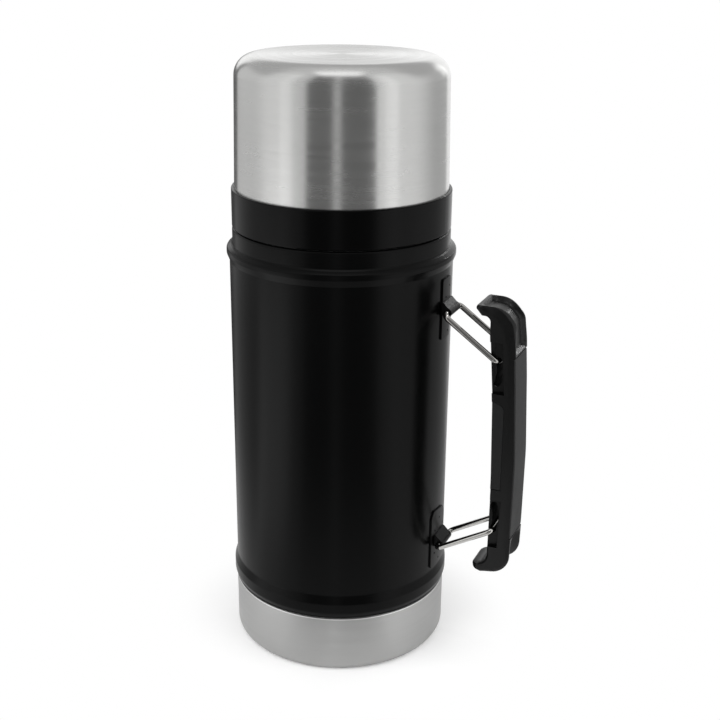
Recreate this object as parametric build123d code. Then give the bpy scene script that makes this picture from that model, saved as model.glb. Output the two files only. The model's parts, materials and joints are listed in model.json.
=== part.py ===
from build123d import *
import math
import os

# Insulated food jar: a double-walled steel vessel with a screw stopper, a screw-on bowl lid and a
# folding side handle.  Millimetres, +Z up.  The origin is on the jar's axis, in the plane that it
# stands on, and the handle stands out along +X.

# ---- Driving dimensions ---------------------------------------------------------------------------

# Painted outer shell
body_radius = 51.0
shell_wall = 0.8
body_height = 174.5          # from the foot of the painted shell to its shoulder
body_foot_radius = 51.6
lower_bead_radius = 52.3
lower_bead_start = 2.6       # heights above the foot of the shell
lower_bead_end = 7.2
lower_bead_fade = 11.2
upper_bead_radius = 52.3
upper_bead_drop = 11.9       # from the shoulder down to the middle of the upper bead
upper_bead_half = 1.0
upper_bead_fade = 4.2
collar_radius = 49.6
shoulder_round = 1.6
bead_round = 2.0

# Base cup
base_height = 28.7
base_radius = 51.3
base_wall = 0.8
base_corner = 3.6
base_tuck = 4.0              # how far its rim reaches up under the painted shell
base_tuck_gap = 0.1          # between the rim and the shell's foot
base_tuck_step = 0.6         # height of the step from the cup's side in to its rim
base_recess_radius = 34.0
base_recess_depth = 1.2
base_boss_radius = 12.0      # flat centre of the base, level with the standing ring

# Neck and thread
neck_radius = 43.0
neck_wall = 0.8
neck_height = 23.6           # from the shoulder to the mouth
neck_root = 3.0              # how far the neck ring reaches down inside the shoulder
thread_lead = 8.0
thread_starts = 2
thread_root_width = 1.8
thread_tip_width = 1.0
thread_depth = 1.2
thread_radial_clearance = 0.35
thread_sink = 0.3            # how far a ridge is rooted in its wall
neck_thread_height = 8.0     # length of one ridge along the axis
neck_thread_start = 6.0      # above the shoulder
lid_thread_height = 6.0
open_turns = 3               # turns that take the lid or the stopper clear of the mouth

# Inner vessel
vessel_radius = 41.6         # inside
vessel_wall = 0.6
vessel_floor = 21.0
vessel_corner = 9.0
mouth_radius = 40.4          # inside
mouth_narrowing_start = 12.5 # below the shoulder
mouth_narrowing_end = 6.0
stopper_thread_height = 6.0
stopper_thread_start = 9.0   # below the mouth, to the lower end of the vessel's ridges

# Vacuum jacket
jacket_wall = 0.7
jacket_lap = 5.0             # welded lap inside the painted shell
jacket_step = 2.5
jacket_floor = 4.5
jacket_corner = 5.0
jacket_side_gap = 0.4        # to the base cup
evacuation_hole_radius = 1.5
plug_radius = 4.5
plug_thickness = 1.2
getter_radius = 7.0
getter_height = 2.6
getter_offset = 20.0
foil_thickness = 0.2
foil_gap = 0.1
foil_margin = 8.0

# Lid
seam_gap = 0.4               # open seam between the shoulder and the lid ring
lid_ring_radius = 49.6
lid_ring_height = 17.2
lid_ring_edge = 0.5
lid_height = 75.0            # from the underside of the ring to the top of the lid
lid_foot_radius = 48.2
lid_head_radius = 47.2
lid_wall = 0.7
lid_corner = 9.0
lid_socket_depth = 3.0
lid_socket_gap = 0.08
lid_spigot_rise = 3.2
liner_wall = 0.6
liner_side_gap = 0.6
liner_top_gap = 2.0
seal_width = 2.0
seal_height = 1.7
seal_centre_radius = 46.6
seal_side_gap = 0.2
seal_face_gap = 0.1

# Stopper
stopper_depth = 23.8         # below the mouth
stopper_wall = 1.8
stopper_flange_radius = 42.9
stopper_flange_gap = 0.4
stopper_flange_height = 3.2
gasket_inner_radius = 40.5
gasket_width = 1.4
gasket_height = 1.3
foam_gap = 0.2
knob_base_height = 2.6
knob_base_inset = 0.9
knob_radius = 31.0
knob_height = 7.4
knob_wall = 3.0
knob_corner = 2.0
knob_scallops = 12
scallop_radius = 6.0
scallop_depth = 1.5

# Handle brackets
bracket_thickness = 1.0
bracket_length = 28.4
bracket_corner = 1.2
upper_bracket_width = 11.0
upper_bracket_top = 19.0     # below the shoulder
upper_knuckle_drop = 14.4    # below the top of its plate
lower_bracket_width = 14.6
lower_bracket_foot = 14.3    # above the foot of the painted shell
lower_knuckle_rise = 11.1    # above the foot of its plate
lower_slope_along = 6.5      # sloped top corners of the lower plate
lower_slope_across = 4.0
knuckle_stand_off = 2.0      # from the plate's face to the middle of the knuckle
knuckle_wall = 0.9
knuckle_spread = 4.0         # half width of the knuckle's root on the plate
knuckle_end_gap = 0.8        # to the bends of the bail
weld_dimple_radius = 0.6
weld_dimple_depth = 0.5
weld_from_end = 4.2
weld_from_side = 3.4

# Bails
wire_radius = 1.3
wire_bore_clearance = 0.08
wire_end_gap = 0.4
bail_overhang = 0.3          # from the grip's side out to the middle of the wire
bail_bend = 2.6
upper_bail_length = 31.0
upper_bail_droop = 35.7      # degrees below the level
lower_bail_length = 30.4
lower_bail_rise = 29.4       # degrees above the level

# Grip
grip_half_width = 9.4
grip_edge_round = 1.8
folded_gap = 0.4             # left between the folded grip's foot and the lower knuckle
bar_clearance = 0.3
pocket_depth_upper = 3.4     # from the bar back to the pocket's wall
pocket_depth_lower = 3.2
pocket_margin_above = 9.3    # beyond the bar at its outer end of travel
pocket_margin_below = 3.0    # beyond the bar at its inner end of travel
pocket_side_gap = 1.4        # between a bail's leg and the grip's web
nose_plan_round = 5.0        # corner radius of the upper hook seen from above
foot_plan_round = 8.0
pad_thickness = 3.2
pad_front = 4.0              # from the bar out to where the pad's region begins
pad_below_bar = 8.0
pad_above_bar = 8.8
pad_edge_gap = 0.15
channel_half_width = 5.0     # recess that runs over the upper hook
channel_depth = 1.3
channel_reach = 8.4          # from the bar in towards the nose
foot_channel_half_width = 6.0
foot_channel_depth = 3.4
foot_channel_reach = 3.0
cover_depth = 3.3            # from the bars back to the cover's back
cover_above_bar = 21.0
cover_below_bar = 20.1
cover_corner = 2.5
cover_gap = 0.12

# Side outline of the grip, round from the nose of the upper hook.  Each corner is given from the
# bar of the nearer bail: distance outwards, height, corner radius.
upper_outline_outside = [
    (-11.3, 20.0, 2.1),
    (-11.3, 24.8, 2.1),
    (0.8, 24.8, 11.0),
    (7.1, 18.1, 6.0),
    (9.0, -10.7, 120.0),
]
lower_outline = [
    (9.4, 36.0, 160.0),
    (9.1, 3.0, 120.0),
    (8.7, -20.4, 11.0),
    (-5.5, -22.4, 3.0),
    (-10.2, -22.0, 2.0),
    (-10.2, -18.4, 2.0),
    (-2.3, -14.4, 1.6),
    (-1.8, 26.0, 200.0),
]
upper_outline_inside = [
    (-1.6, -19.7, 120.0),
    (-4.0, 12.3, 60.0),
    (-4.0, 20.0, 2.6),
]

# ---- Levels and radii worked out from them --------------------------------------------------------

shoulder = base_height + body_height
mouth = shoulder + neck_height
ring_foot = shoulder + seam_gap
ring_top = ring_foot + lid_ring_height
lid_top = ring_foot + lid_height
thread_pitch = thread_lead / thread_starts
lift_travel = open_turns * thread_lead
neck_thread_tip = neck_radius + thread_depth
ring_bore = neck_thread_tip + thread_radial_clearance
stopper_thread_tip = mouth_radius - thread_radial_clearance
stopper_radius = stopper_thread_tip - thread_depth
shell_bore = body_radius - shell_wall
spigot_top = ring_top + lid_spigot_rise
base_rim_radius = body_foot_radius - shell_wall - base_tuck_gap
plate_radius = body_radius + bracket_thickness
knuckle_bore = wire_radius + wire_bore_clearance
knuckle_radius = knuckle_bore + knuckle_wall
upper_plate_top = shoulder - upper_bracket_top
upper_pivot_height = upper_plate_top - upper_knuckle_drop
lower_plate_foot = base_height + lower_bracket_foot
lower_pivot_height = lower_plate_foot + lower_knuckle_rise
bail_pivot_radius = plate_radius + knuckle_stand_off
bail_half_width = grip_half_width + bail_overhang
knuckle_half_length = bail_half_width - bail_bend - knuckle_end_gap
grip_web_half_width = bail_half_width - wire_radius - pocket_side_gap


def bar_place(pivot_height, length, angle):
    """Place of a bail's outer bar: distance from the jar's axis, and height."""
    turn = math.radians(angle)
    return bail_pivot_radius + length * math.cos(turn), pivot_height + length * math.sin(turn)


upper_bar = bar_place(upper_pivot_height, upper_bail_length, -upper_bail_droop)
lower_bar = bar_place(lower_pivot_height, lower_bail_length, lower_bail_rise)
grip_outline = (
    [(upper_bar[0] + out, upper_bar[1] + up, bend) for out, up, bend in upper_outline_outside]
    + [(lower_bar[0] + out, lower_bar[1] + up, bend) for out, up, bend in lower_outline]
    + [(upper_bar[0] + out, upper_bar[1] + up, bend) for out, up, bend in upper_outline_inside]
)
nose_reach = upper_bar[0] + min(corner[0] for corner in upper_outline_outside)
foot_reach = lower_bar[0] + min(corner[0] for corner in lower_outline)
grip_back = lower_bar[0] + max(corner[0] for corner in lower_outline)
grip_top = max(corner[1] for corner in grip_outline)
grip_foot = min(corner[1] for corner in grip_outline)
grip_travel = foot_reach - (bail_pivot_radius + knuckle_radius) - folded_gap
pad_bottom = lower_bar[1] - pad_below_bar
pad_top = upper_bar[1] + pad_above_bar
cover_back = (upper_bar[0] + lower_bar[0]) / 2 + cover_depth
cover_bottom = lower_bar[1] + cover_above_bar
cover_top = upper_bar[1] - cover_below_bar


# ---- Shape helpers --------------------------------------------------------------------------------

def outline_face(corners, across=False):
    """Face bounded by (first, height[, corner radius]) corners, in XZ, or in YZ when across is set."""
    place = (lambda a, z: (0, a, z)) if across else (lambda a, z: (a, 0, z))
    points = [place(corner[0], corner[1]) for corner in corners]
    radii = [corner[2] if len(corner) > 2 else 0 for corner in corners]
    return make_face(FilletPolyline(*points, radius=radii, close=True).edges())


def turned(*corners):
    """Solid of revolution about the jar's axis from (radius, height[, corner radius]) corners."""
    return revolve(outline_face(corners), Axis.Z)


def ring(inner, outer, bottom, top):
    """Plain ring about the jar's axis."""
    return turned((inner, bottom), (outer, bottom), (outer, top), (inner, top))


def block(x_range, y_range, z_range):
    """Box between two opposite corners."""
    size = [high - low for low, high in (x_range, y_range, z_range)]
    middle = [(high + low) / 2 for low, high in (x_range, y_range, z_range)]
    return Pos(*middle) * Box(*size)


def thread_ridges(root_radius, direction, bottom, height):
    """Helical ridges of the two-start thread: direction is 1 for an outside thread, -1 for an inside one."""
    sunk = root_radius - direction * thread_sink
    tip = root_radius + direction * thread_depth
    profile = outline_face([
        (sunk, -thread_root_width / 2),
        (tip, -thread_tip_width / 2),
        (tip, thread_tip_width / 2),
        (sunk, thread_root_width / 2),
    ])
    path = Helix(pitch=thread_lead, height=height, radius=root_radius)
    ridge = sweep(profile, path, is_frenet=True)
    turn = 360 / thread_starts
    return [Pos(0, 0, bottom) * Rot(0, 0, turn * start) * ridge for start in range(thread_starts)]


# ---- Vessel ---------------------------------------------------------------------------------------

def shell_outline(inset):
    """Outline of the painted shell, closed to the axis, with every radius drawn in by inset."""
    upper_bead = shoulder - upper_bead_drop
    return [
        (0, base_height),
        (body_foot_radius - inset, base_height),
        (lower_bead_radius - inset, base_height + lower_bead_start, bead_round),
        (lower_bead_radius - inset, base_height + lower_bead_end, bead_round),
        (body_radius - inset, base_height + lower_bead_fade, bead_round),
        (body_radius - inset, upper_bead - upper_bead_half - upper_bead_fade, bead_round),
        (upper_bead_radius - inset, upper_bead - upper_bead_half, bead_round),
        (upper_bead_radius - inset, upper_bead + upper_bead_half, bead_round),
        (collar_radius - inset, upper_bead + upper_bead_half + upper_bead_fade, bead_round),
        (collar_radius - inset, shoulder - inset, shoulder_round),
        (0, shoulder - inset),
    ]


def outer_shell():
    """Painted steel shell with its two rolled beads and the shoulder round the neck."""
    shell = turned(*shell_outline(0)) - turned(*shell_outline(shell_wall))
    return shell - Pos(0, 0, shoulder) * Cylinder(neck_radius, 4 * shell_wall)


def neck_ring():
    """Bare steel neck with the outside screw thread, welded into the shoulder."""
    tube = ring(neck_radius - neck_wall, neck_radius, shoulder - neck_root, mouth - vessel_wall)
    return tube + thread_ridges(neck_radius, 1, shoulder + neck_thread_start, neck_thread_height)


def inner_vessel():
    """Food vessel: one drawn steel wall, rolled out over the neck at the mouth, with an inside thread."""
    narrow_low = shoulder - mouth_narrowing_start
    narrow_high = shoulder - mouth_narrowing_end
    wall = turned(
        (0, vessel_floor - vessel_wall),
        (vessel_radius + vessel_wall, vessel_floor - vessel_wall, vessel_corner + vessel_wall),
        (vessel_radius + vessel_wall, narrow_low, bead_round),
        (mouth_radius + vessel_wall, narrow_high, bead_round),
        (mouth_radius + vessel_wall, mouth - vessel_wall),
        (neck_radius, mouth - vessel_wall),
        (neck_radius, mouth),
        (mouth_radius, mouth),
        (mouth_radius, narrow_high, bead_round),
        (vessel_radius, narrow_low, bead_round),
        (vessel_radius, vessel_floor, vessel_corner),
        (0, vessel_floor),
    )
    return wall + thread_ridges(mouth_radius, -1, mouth - stopper_thread_start, stopper_thread_height)


def jacket_base():
    """Drawn cup that closes the vacuum jacket from below, lap-welded inside the painted shell."""
    lap_foot = base_height + lower_bead_fade + bead_round
    side = base_rim_radius - base_wall - jacket_side_gap
    outside = [
        (shell_bore, lap_foot + jacket_lap),
        (shell_bore, lap_foot),
        (side, lap_foot - jacket_step),
        (side, jacket_floor, jacket_corner),
        (0, jacket_floor),
    ]
    inside = [
        (0, jacket_floor + jacket_wall),
        (side - jacket_wall, jacket_floor + jacket_wall, jacket_corner - jacket_wall),
        (side - jacket_wall, lap_foot - jacket_step),
        (shell_bore - jacket_wall, lap_foot),
        (shell_bore - jacket_wall, lap_foot + jacket_lap),
    ]
    cup = turned(*outside, *inside)
    return cup - Pos(0, 0, jacket_floor) * Cylinder(evacuation_hole_radius, 4 * jacket_wall)


def vacuum_plug():
    """Solder-sealed plug of the evacuation hole under the jacket."""
    stem = ring(0, evacuation_hole_radius, jacket_floor, jacket_floor + jacket_wall)
    return stem + ring(0, plug_radius, jacket_floor - plug_thickness, jacket_floor)


def getter():
    """Small cup of getter metal on the jacket's floor, beside the evacuation hole."""
    floor = jacket_floor + jacket_wall
    cup = Pos(0, 0, floor + getter_height / 2) * Cylinder(getter_radius, getter_height)
    hollow = Pos(0, 0, floor + getter_height) * Cylinder(getter_radius - jacket_wall, getter_height)
    return Pos(getter_offset, 0, 0) * (cup - hollow)


def radiation_foil():
    """Copper foil wrapped round the straight part of the vessel, inside the vacuum."""
    inner = vessel_radius + vessel_wall + foil_gap
    bottom = vessel_floor + foil_margin
    top = shoulder - mouth_narrowing_start - foil_margin
    return ring(inner, inner + foil_thickness, bottom, top)


def base_cup():
    """Brushed steel cup that the jar stands on, its rim tucked up under the painted shell."""
    rim = base_height + base_tuck
    step_top = base_height
    step_foot = base_height - base_tuck_step
    floor = base_recess_depth + base_wall
    cup = turned(
        (0, 0),
        (base_radius, 0, base_corner),
        (base_radius, step_foot),
        (base_rim_radius, step_top),
        (base_rim_radius, rim),
        (base_rim_radius - base_wall, rim),
        (base_rim_radius - base_wall, step_top),
        (base_radius - base_wall, step_foot),
        (base_radius - base_wall, floor, base_corner - base_wall),
        (0, floor),
    )
    return cup - ring(base_boss_radius, base_recess_radius, 0, base_recess_depth)


# ---- Lid ------------------------------------------------------------------------------------------

def lid_side(height, inset):
    """Radius of the lid's tapering side at a height, drawn in by inset."""
    taper = (lid_foot_radius - lid_head_radius) / (lid_top - lid_corner - ring_top)
    return lid_foot_radius - taper * (height - ring_top) - inset


def bowl(foot, top_gap, inset, wall, corner):
    """Thin bowl turned mouth down, following the lid's side at the given inset."""
    roof = lid_top - top_gap
    return turned(
        (0, roof),
        (lid_side(roof, inset), roof, corner),
        (lid_side(foot, inset), foot),
        (lid_side(foot, inset + wall), foot),
        (lid_side(roof - wall, inset + wall), roof - wall, corner - wall),
        (0, roof - wall),
    )


def lid_shell():
    """Brushed steel outside of the lid."""
    return bowl(ring_top - lid_socket_depth, 0, 0, lid_wall, lid_corner)


def lid_liner():
    """Steel bowl inside the lid, with an air gap to the outside."""
    inset = lid_wall + liner_side_gap
    return bowl(spigot_top, lid_wall + liner_top_gap, inset, liner_wall, lid_corner - inset)


def lid_ring():
    """Black moulded ring with the inside thread and the socket that holds the lid's steel shell."""
    socket_foot = ring_top - lid_socket_depth
    socket_outer = lid_side(socket_foot, 0) + lid_socket_gap
    socket_inner = lid_side(ring_top, lid_wall) - lid_socket_gap
    body = turned(
        (ring_bore, ring_foot),
        (lid_ring_radius, ring_foot, lid_ring_edge),
        (lid_ring_radius, ring_top, lid_ring_edge),
        (socket_outer, ring_top),
        (socket_outer, socket_foot - lid_socket_gap),
        (socket_inner, socket_foot - lid_socket_gap),
        (lid_side(spigot_top, lid_wall + lid_socket_gap), spigot_top),
        (ring_bore, spigot_top),
    )
    groove_half = seal_width / 2 + seal_side_gap
    groove_roof = shoulder + seal_face_gap + seal_height + seal_face_gap
    groove = ring(seal_centre_radius - groove_half, seal_centre_radius + groove_half, shoulder, groove_roof)
    ridge_start = shoulder + neck_thread_start + thread_pitch / 2 - thread_pitch
    return body - groove + thread_ridges(ring_bore, -1, ridge_start, lid_thread_height)


def lid_seal():
    """Silicone ring in the lid ring's underside, which meets the shoulder."""
    bottom = shoulder + seal_face_gap
    half = seal_width / 2
    return ring(seal_centre_radius - half, seal_centre_radius + half, bottom, bottom + seal_height)


# ---- Stopper --------------------------------------------------------------------------------------

def stopper_body():
    """Moulded plug with its outside thread, its flange and the groove for the gasket."""
    foot = mouth - stopper_depth
    flange_foot = mouth + stopper_flange_gap
    flange_top = flange_foot + stopper_flange_height
    body = turned(
        (0, foot),
        (stopper_radius, foot, stopper_wall),
        (stopper_radius, flange_foot),
        (stopper_flange_radius, flange_foot),
        (stopper_flange_radius, flange_top),
        (stopper_radius - stopper_wall, flange_top),
        (stopper_radius - stopper_wall, foot + stopper_wall),
        (0, foot + stopper_wall),
    )
    groove_roof = mouth + seal_face_gap + gasket_height + seal_face_gap
    groove = ring(
        gasket_inner_radius - seal_side_gap,
        gasket_inner_radius + gasket_width + seal_side_gap,
        mouth,
        groove_roof,
    )
    ridge_start = mouth - stopper_thread_start + thread_pitch / 2 - thread_pitch
    return body - groove + thread_ridges(stopper_radius, 1, ridge_start, stopper_thread_height)


def stopper_foam():
    """Block of insulating foam inside the plug."""
    foot = mouth - stopper_depth + stopper_wall
    top = mouth + stopper_flange_gap + stopper_flange_height
    return ring(0, stopper_radius - stopper_wall - foam_gap, foot, top)


def stopper_cap():
    """Scalloped knob that closes the plug and that a hand turns."""
    foot = mouth + stopper_flange_gap + stopper_flange_height
    plate_top = foot + knob_base_height
    top = plate_top + knob_height
    cap = turned(
        (0, foot + knob_wall),
        (knob_radius - knob_wall, foot + knob_wall),
        (knob_radius - knob_wall, foot),
        (stopper_flange_radius - knob_base_inset, foot),
        (stopper_flange_radius - knob_base_inset, plate_top, knob_base_inset),
        (knob_radius, plate_top),
        (knob_radius, top, knob_corner),
        (0, top),
    )
    centre = knob_radius - scallop_depth + scallop_radius
    for index in range(knob_scallops):
        scallop = Pos(centre, 0, plate_top + knob_height / 2) * Cylinder(scallop_radius, knob_height)
        cap -= Rot(0, 0, 360 * index / knob_scallops) * scallop
    return cap


def stopper_gasket():
    """Silicone ring under the stopper's flange, on the rim of the mouth."""
    bottom = mouth + seal_face_gap
    return ring(gasket_inner_radius, gasket_inner_radius + gasket_width, bottom, bottom + gasket_height)


# ---- Handle ---------------------------------------------------------------------------------------

def bracket(corners, pivot_height):
    """Plate welded to the shell, outlined by (across, height[, radius]) corners, with the bail's knuckle."""
    bottom = min(corner[1] for corner in corners)
    top = max(corner[1] for corner in corners)
    half = max(corner[0] for corner in corners)
    blank = extrude(outline_face(corners, across=True), amount=2 * body_radius, dir=(1, 0, 0))
    plate = ring(body_radius, plate_radius, bottom, top) & blank
    mid_plate = body_radius + bracket_thickness / 2
    root = outline_face([
        (mid_plate, pivot_height - knuckle_spread),
        (bail_pivot_radius, pivot_height - knuckle_radius, knuckle_wall),
        (bail_pivot_radius, pivot_height + knuckle_radius, knuckle_wall),
        (mid_plate, pivot_height + knuckle_spread),
    ])
    across_place = Pos(bail_pivot_radius, 0, pivot_height) * Rot(90, 0, 0)
    knuckle = across_place * Cylinder(knuckle_radius, 2 * knuckle_half_length)
    knuckle += extrude(root, amount=knuckle_half_length, both=True)
    bore = across_place * Cylinder(knuckle_bore, 2 * bail_half_width)
    solid = plate + (knuckle - ring(0, mid_plate, bottom, top)) - bore
    for side in (-1, 1):
        for height in (bottom + weld_from_end, top - weld_from_end):
            dimple = Pos(plate_radius, side * (half - weld_from_side), height) * Rot(0, 90, 0)
            solid -= dimple * Cylinder(weld_dimple_radius, 2 * weld_dimple_depth)
    return solid


def upper_bracket():
    """Oblong plate of the upper bail."""
    half = upper_bracket_width / 2
    foot = upper_plate_top - bracket_length
    return bracket([
        (-half, foot, bracket_corner),
        (half, foot, bracket_corner),
        (half, upper_plate_top, bracket_corner),
        (-half, upper_plate_top, bracket_corner),
    ], upper_pivot_height)


def lower_bracket():
    """Plate of the lower bail, with its two upper corners sloped."""
    half = lower_bracket_width / 2
    top = lower_plate_foot + bracket_length
    return bracket([
        (-half, lower_plate_foot, bracket_corner),
        (half, lower_plate_foot, bracket_corner),
        (half, top - lower_slope_along, bracket_corner),
        (half - lower_slope_across, top, bracket_corner),
        (-half + lower_slope_across, top, bracket_corner),
        (-half, top - lower_slope_along, bracket_corner),
    ], lower_pivot_height)


def bail(pivot_height, length, angle):
    """Bent wire: its ends meet in the bracket's knuckle and its outer bar lies in the grip."""
    half = bail_half_width
    path = FilletPolyline(
        (0, -wire_end_gap / 2, 0),
        (0, -half, 0),
        (length, -half, 0),
        (length, half, 0),
        (0, half, 0),
        (0, wire_end_gap / 2, 0),
        radius=bail_bend,
    )
    start = Plane(origin=path @ 0, z_dir=path % 0)
    wire = sweep(start * Circle(wire_radius), path)
    return Pos(bail_pivot_radius, 0, pivot_height) * Rot(0, -angle, 0) * wire


def upper_bail():
    """Bright wire bail under the upper hook."""
    return bail(upper_pivot_height, upper_bail_length, -upper_bail_droop)


def lower_bail():
    """Bright wire bail over the grip's foot."""
    return bail(lower_pivot_height, lower_bail_length, lower_bail_rise)


def folded_angle(length, angle):
    """A bail's angle when the grip has moved in by its whole travel."""
    reach = length * math.cos(math.radians(angle)) - grip_travel
    return math.copysign(math.degrees(math.acos(reach / length)), angle)


def bar_drift(length, angle):
    """How far the bar moves out along its slot's width while bail and grip move in step."""
    middle = math.radians((angle + folded_angle(length, angle)) / 2)
    return length * math.cos(middle) - (length * math.cos(math.radians(angle)) - grip_travel / 2)


def bar_slot(pivot_height, length, angle, depth):
    """Cut in the grip for one bail: a pocket in each side, and the slot that its bar slides in."""
    bar_x, bar_rest = bar_place(pivot_height, length, angle)
    bar_folded = bar_place(pivot_height, length, folded_angle(length, angle))[1]
    away = math.copysign(1, bar_rest - bar_folded)
    heights = sorted((bar_rest + away * pocket_margin_above, bar_folded - away * pocket_margin_below))
    sides = (-bail_half_width, bail_half_width)
    pockets = block((bail_pivot_radius, bar_x + depth), sides, heights)
    web = block((0, grip_back), (-grip_web_half_width, grip_web_half_width), heights)
    reach = wire_radius + bar_clearance
    slot_heights = sorted((bar_rest + away * reach, bar_folded - away * reach))
    slot = block((bar_x - reach, bar_x + reach + bar_drift(length, angle)), sides, slot_heights)
    return (pockets - web) + slot


def plan_corners(end, bend, heights):
    """Cuts that round the two inner corners of the grip, seen from above, within the given heights."""
    cuts = []
    for side in (-1, 1):
        across = sorted((side * (grip_half_width - bend), side * bail_half_width))
        corner = block((end - 1, end + bend), across, heights)
        post = Pos(end + bend, side * (grip_half_width - bend), sum(heights) / 2)
        cuts.append(corner - post * Cylinder(bend, 2 * (heights[1] - heights[0])))
    return cuts


def grip_blank():
    """The whole grip, before its pad, cover and slots are taken out."""
    solid = extrude(outline_face(grip_outline), amount=grip_half_width, both=True)
    solid -= plan_corners(nose_reach, nose_plan_round, (upper_bar[1], grip_top))
    solid -= plan_corners(foot_reach, foot_plan_round, (grip_foot, lower_bar[1]))
    sides = []
    for edge in solid.edges():
        on_side = abs(abs(edge.center().Y) - grip_half_width) < 0.01
        upright = abs((edge % 0.5).Z) > 0.99999
        if on_side and not upright:
            sides.append(edge)
    return fillet(sides, grip_edge_round)


def skin(depth):
    """Outer layer of the grip's side outline, depth thick."""
    face = outline_face(grip_outline)
    core = offset(face, amount=-depth, kind=Kind.INTERSECTION)
    reach = grip_half_width + 1
    return extrude(face, amount=reach, both=True) - extrude(core, amount=reach, both=True)


def upper_channel(gap):
    """Round-ended recess from the pad's upper end over the shoulder to the nose, widened by gap."""
    half = channel_half_width + gap
    start = upper_bar[0] - channel_reach + channel_half_width
    region = block((start, grip_back), (-half, half), (pad_top, grip_top))
    region += Pos(start, 0, grip_top) * Cylinder(half, 2 * (grip_top - pad_top))
    region += Pos(grip_back, 0, pad_top) * Rot(0, 90, 0) * Cylinder(half, 2 * (grip_back - start))
    return region


def foot_channel(gap):
    """Round-ended hollow from the pad's lower end round the grip's foot, widened by gap."""
    half = foot_channel_half_width + gap
    start = lower_bar[0] - foot_channel_reach + foot_channel_half_width
    region = block((start, grip_back), (-half, half), (grip_foot, pad_bottom))
    region += Pos(start, 0, grip_foot) * Cylinder(half, pad_bottom - grip_foot)
    region += Pos(grip_back, 0, pad_bottom) * Rot(0, 90, 0) * Cylinder(half, grip_back - start)
    return region


def pad_region(gap):
    """Space of the soft pad on the grip's back, drawn in by gap, notched round the two channels."""
    back = block(
        (lower_bar[0] + pad_front, grip_back + 1),
        (-bail_half_width, bail_half_width),
        (pad_bottom + gap, pad_top - gap),
    )
    return (skin(pad_thickness - gap) & back) - upper_channel(gap) - foot_channel(gap)


def cover_region(gap):
    """Space of the inner cover between the two slots."""
    corners = [
        (bail_pivot_radius, cover_bottom + gap),
        (cover_back - gap, cover_bottom + gap, cover_corner),
        (cover_back - gap, cover_top - gap, cover_corner),
        (bail_pivot_radius, cover_top - gap),
    ]
    return extrude(outline_face(corners), amount=bail_half_width, both=True)


def grip_frame():
    """Moulded grip with hooked ends, seats for the pad and the cover, and slots for the bails."""
    frame = grip_blank() - pad_region(0) - cover_region(0)
    frame -= skin(channel_depth) & upper_channel(0)
    frame -= skin(foot_channel_depth) & foot_channel(0)
    frame -= bar_slot(upper_pivot_height, upper_bail_length, -upper_bail_droop, pocket_depth_upper)
    return frame - bar_slot(lower_pivot_height, lower_bail_length, lower_bail_rise, pocket_depth_lower)


def grip_pad():
    """Soft moulded pad along the grip's back."""
    return grip_blank() & pad_region(pad_edge_gap)


def grip_cover():
    """Snap-in cover on the grip's inner side."""
    return grip_blank() & cover_region(cover_gap)


# ---- Export ---------------------------------------------------------------------------------------

NODES = [
    outer_shell, neck_ring, inner_vessel, jacket_base, vacuum_plug, getter, radiation_foil, base_cup,
    lid_shell, lid_liner, lid_ring, lid_seal, stopper_body, stopper_foam, stopper_cap, stopper_gasket,
    upper_bracket, lower_bracket, upper_bail, lower_bail, grip_frame, grip_pad, grip_cover,
]

os.makedirs("parts", exist_ok=True)
for make in NODES:
    export_step(make(), f"parts/{make.__name__}.step")
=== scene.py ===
"""Insulated food jar with a steel bowl lid, a screw stopper and a folding side handle.

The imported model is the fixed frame.  Each sub-assembly is a class that builds and dresses its own
pieces; the finishes are small classes over shared shader node groups.  Sizes of pieces are in
millimetres, and sizes of finishes and of the studio are in metres.
"""
from __future__ import annotations

import json
import logging
import math
from dataclasses import dataclass, field
from enum import Enum
from functools import reduce
from typing import Callable, Iterator, Sequence

import bmesh
import bpy
from mathutils import Matrix, Vector
from mathutils.kdtree import KDTree

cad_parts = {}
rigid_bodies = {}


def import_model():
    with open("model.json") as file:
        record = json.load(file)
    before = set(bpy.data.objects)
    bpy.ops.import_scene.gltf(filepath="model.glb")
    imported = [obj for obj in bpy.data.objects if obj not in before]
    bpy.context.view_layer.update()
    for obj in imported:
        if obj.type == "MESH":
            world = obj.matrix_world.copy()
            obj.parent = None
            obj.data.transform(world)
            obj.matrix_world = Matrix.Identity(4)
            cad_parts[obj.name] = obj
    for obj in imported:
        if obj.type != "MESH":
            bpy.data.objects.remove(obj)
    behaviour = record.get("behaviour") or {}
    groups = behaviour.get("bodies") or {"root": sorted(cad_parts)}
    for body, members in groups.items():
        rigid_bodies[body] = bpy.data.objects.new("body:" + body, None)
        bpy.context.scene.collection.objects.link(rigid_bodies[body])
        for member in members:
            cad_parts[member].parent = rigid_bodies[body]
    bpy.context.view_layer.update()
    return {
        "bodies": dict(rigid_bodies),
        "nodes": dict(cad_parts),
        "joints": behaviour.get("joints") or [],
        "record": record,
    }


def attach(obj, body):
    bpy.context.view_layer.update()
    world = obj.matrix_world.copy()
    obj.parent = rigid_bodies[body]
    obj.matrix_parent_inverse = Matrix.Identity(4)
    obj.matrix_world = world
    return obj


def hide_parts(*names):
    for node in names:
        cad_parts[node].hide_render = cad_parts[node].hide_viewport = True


LOG = logging.getLogger("food_jar")
MM = 0.001
POLE = 0.4
SEGMENTS = 192
DUST_SCALE = 2600.0
FULL_TURN = 360.0
PIVOT_RADIUS = 54.0
GRIP_SLIDE = 13.6

Socket = bpy.types.NodeSocket
Node = bpy.types.Node
Tree = bpy.types.NodeTree
Piece = bpy.types.Object
Vertex = bpy.types.MeshVertex
Material = bpy.types.Material
Colour = tuple[float, float, float]
Shade = tuple[float, float, float, float]
Place = tuple[float, float]
Point = tuple[float, float, float]

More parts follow.
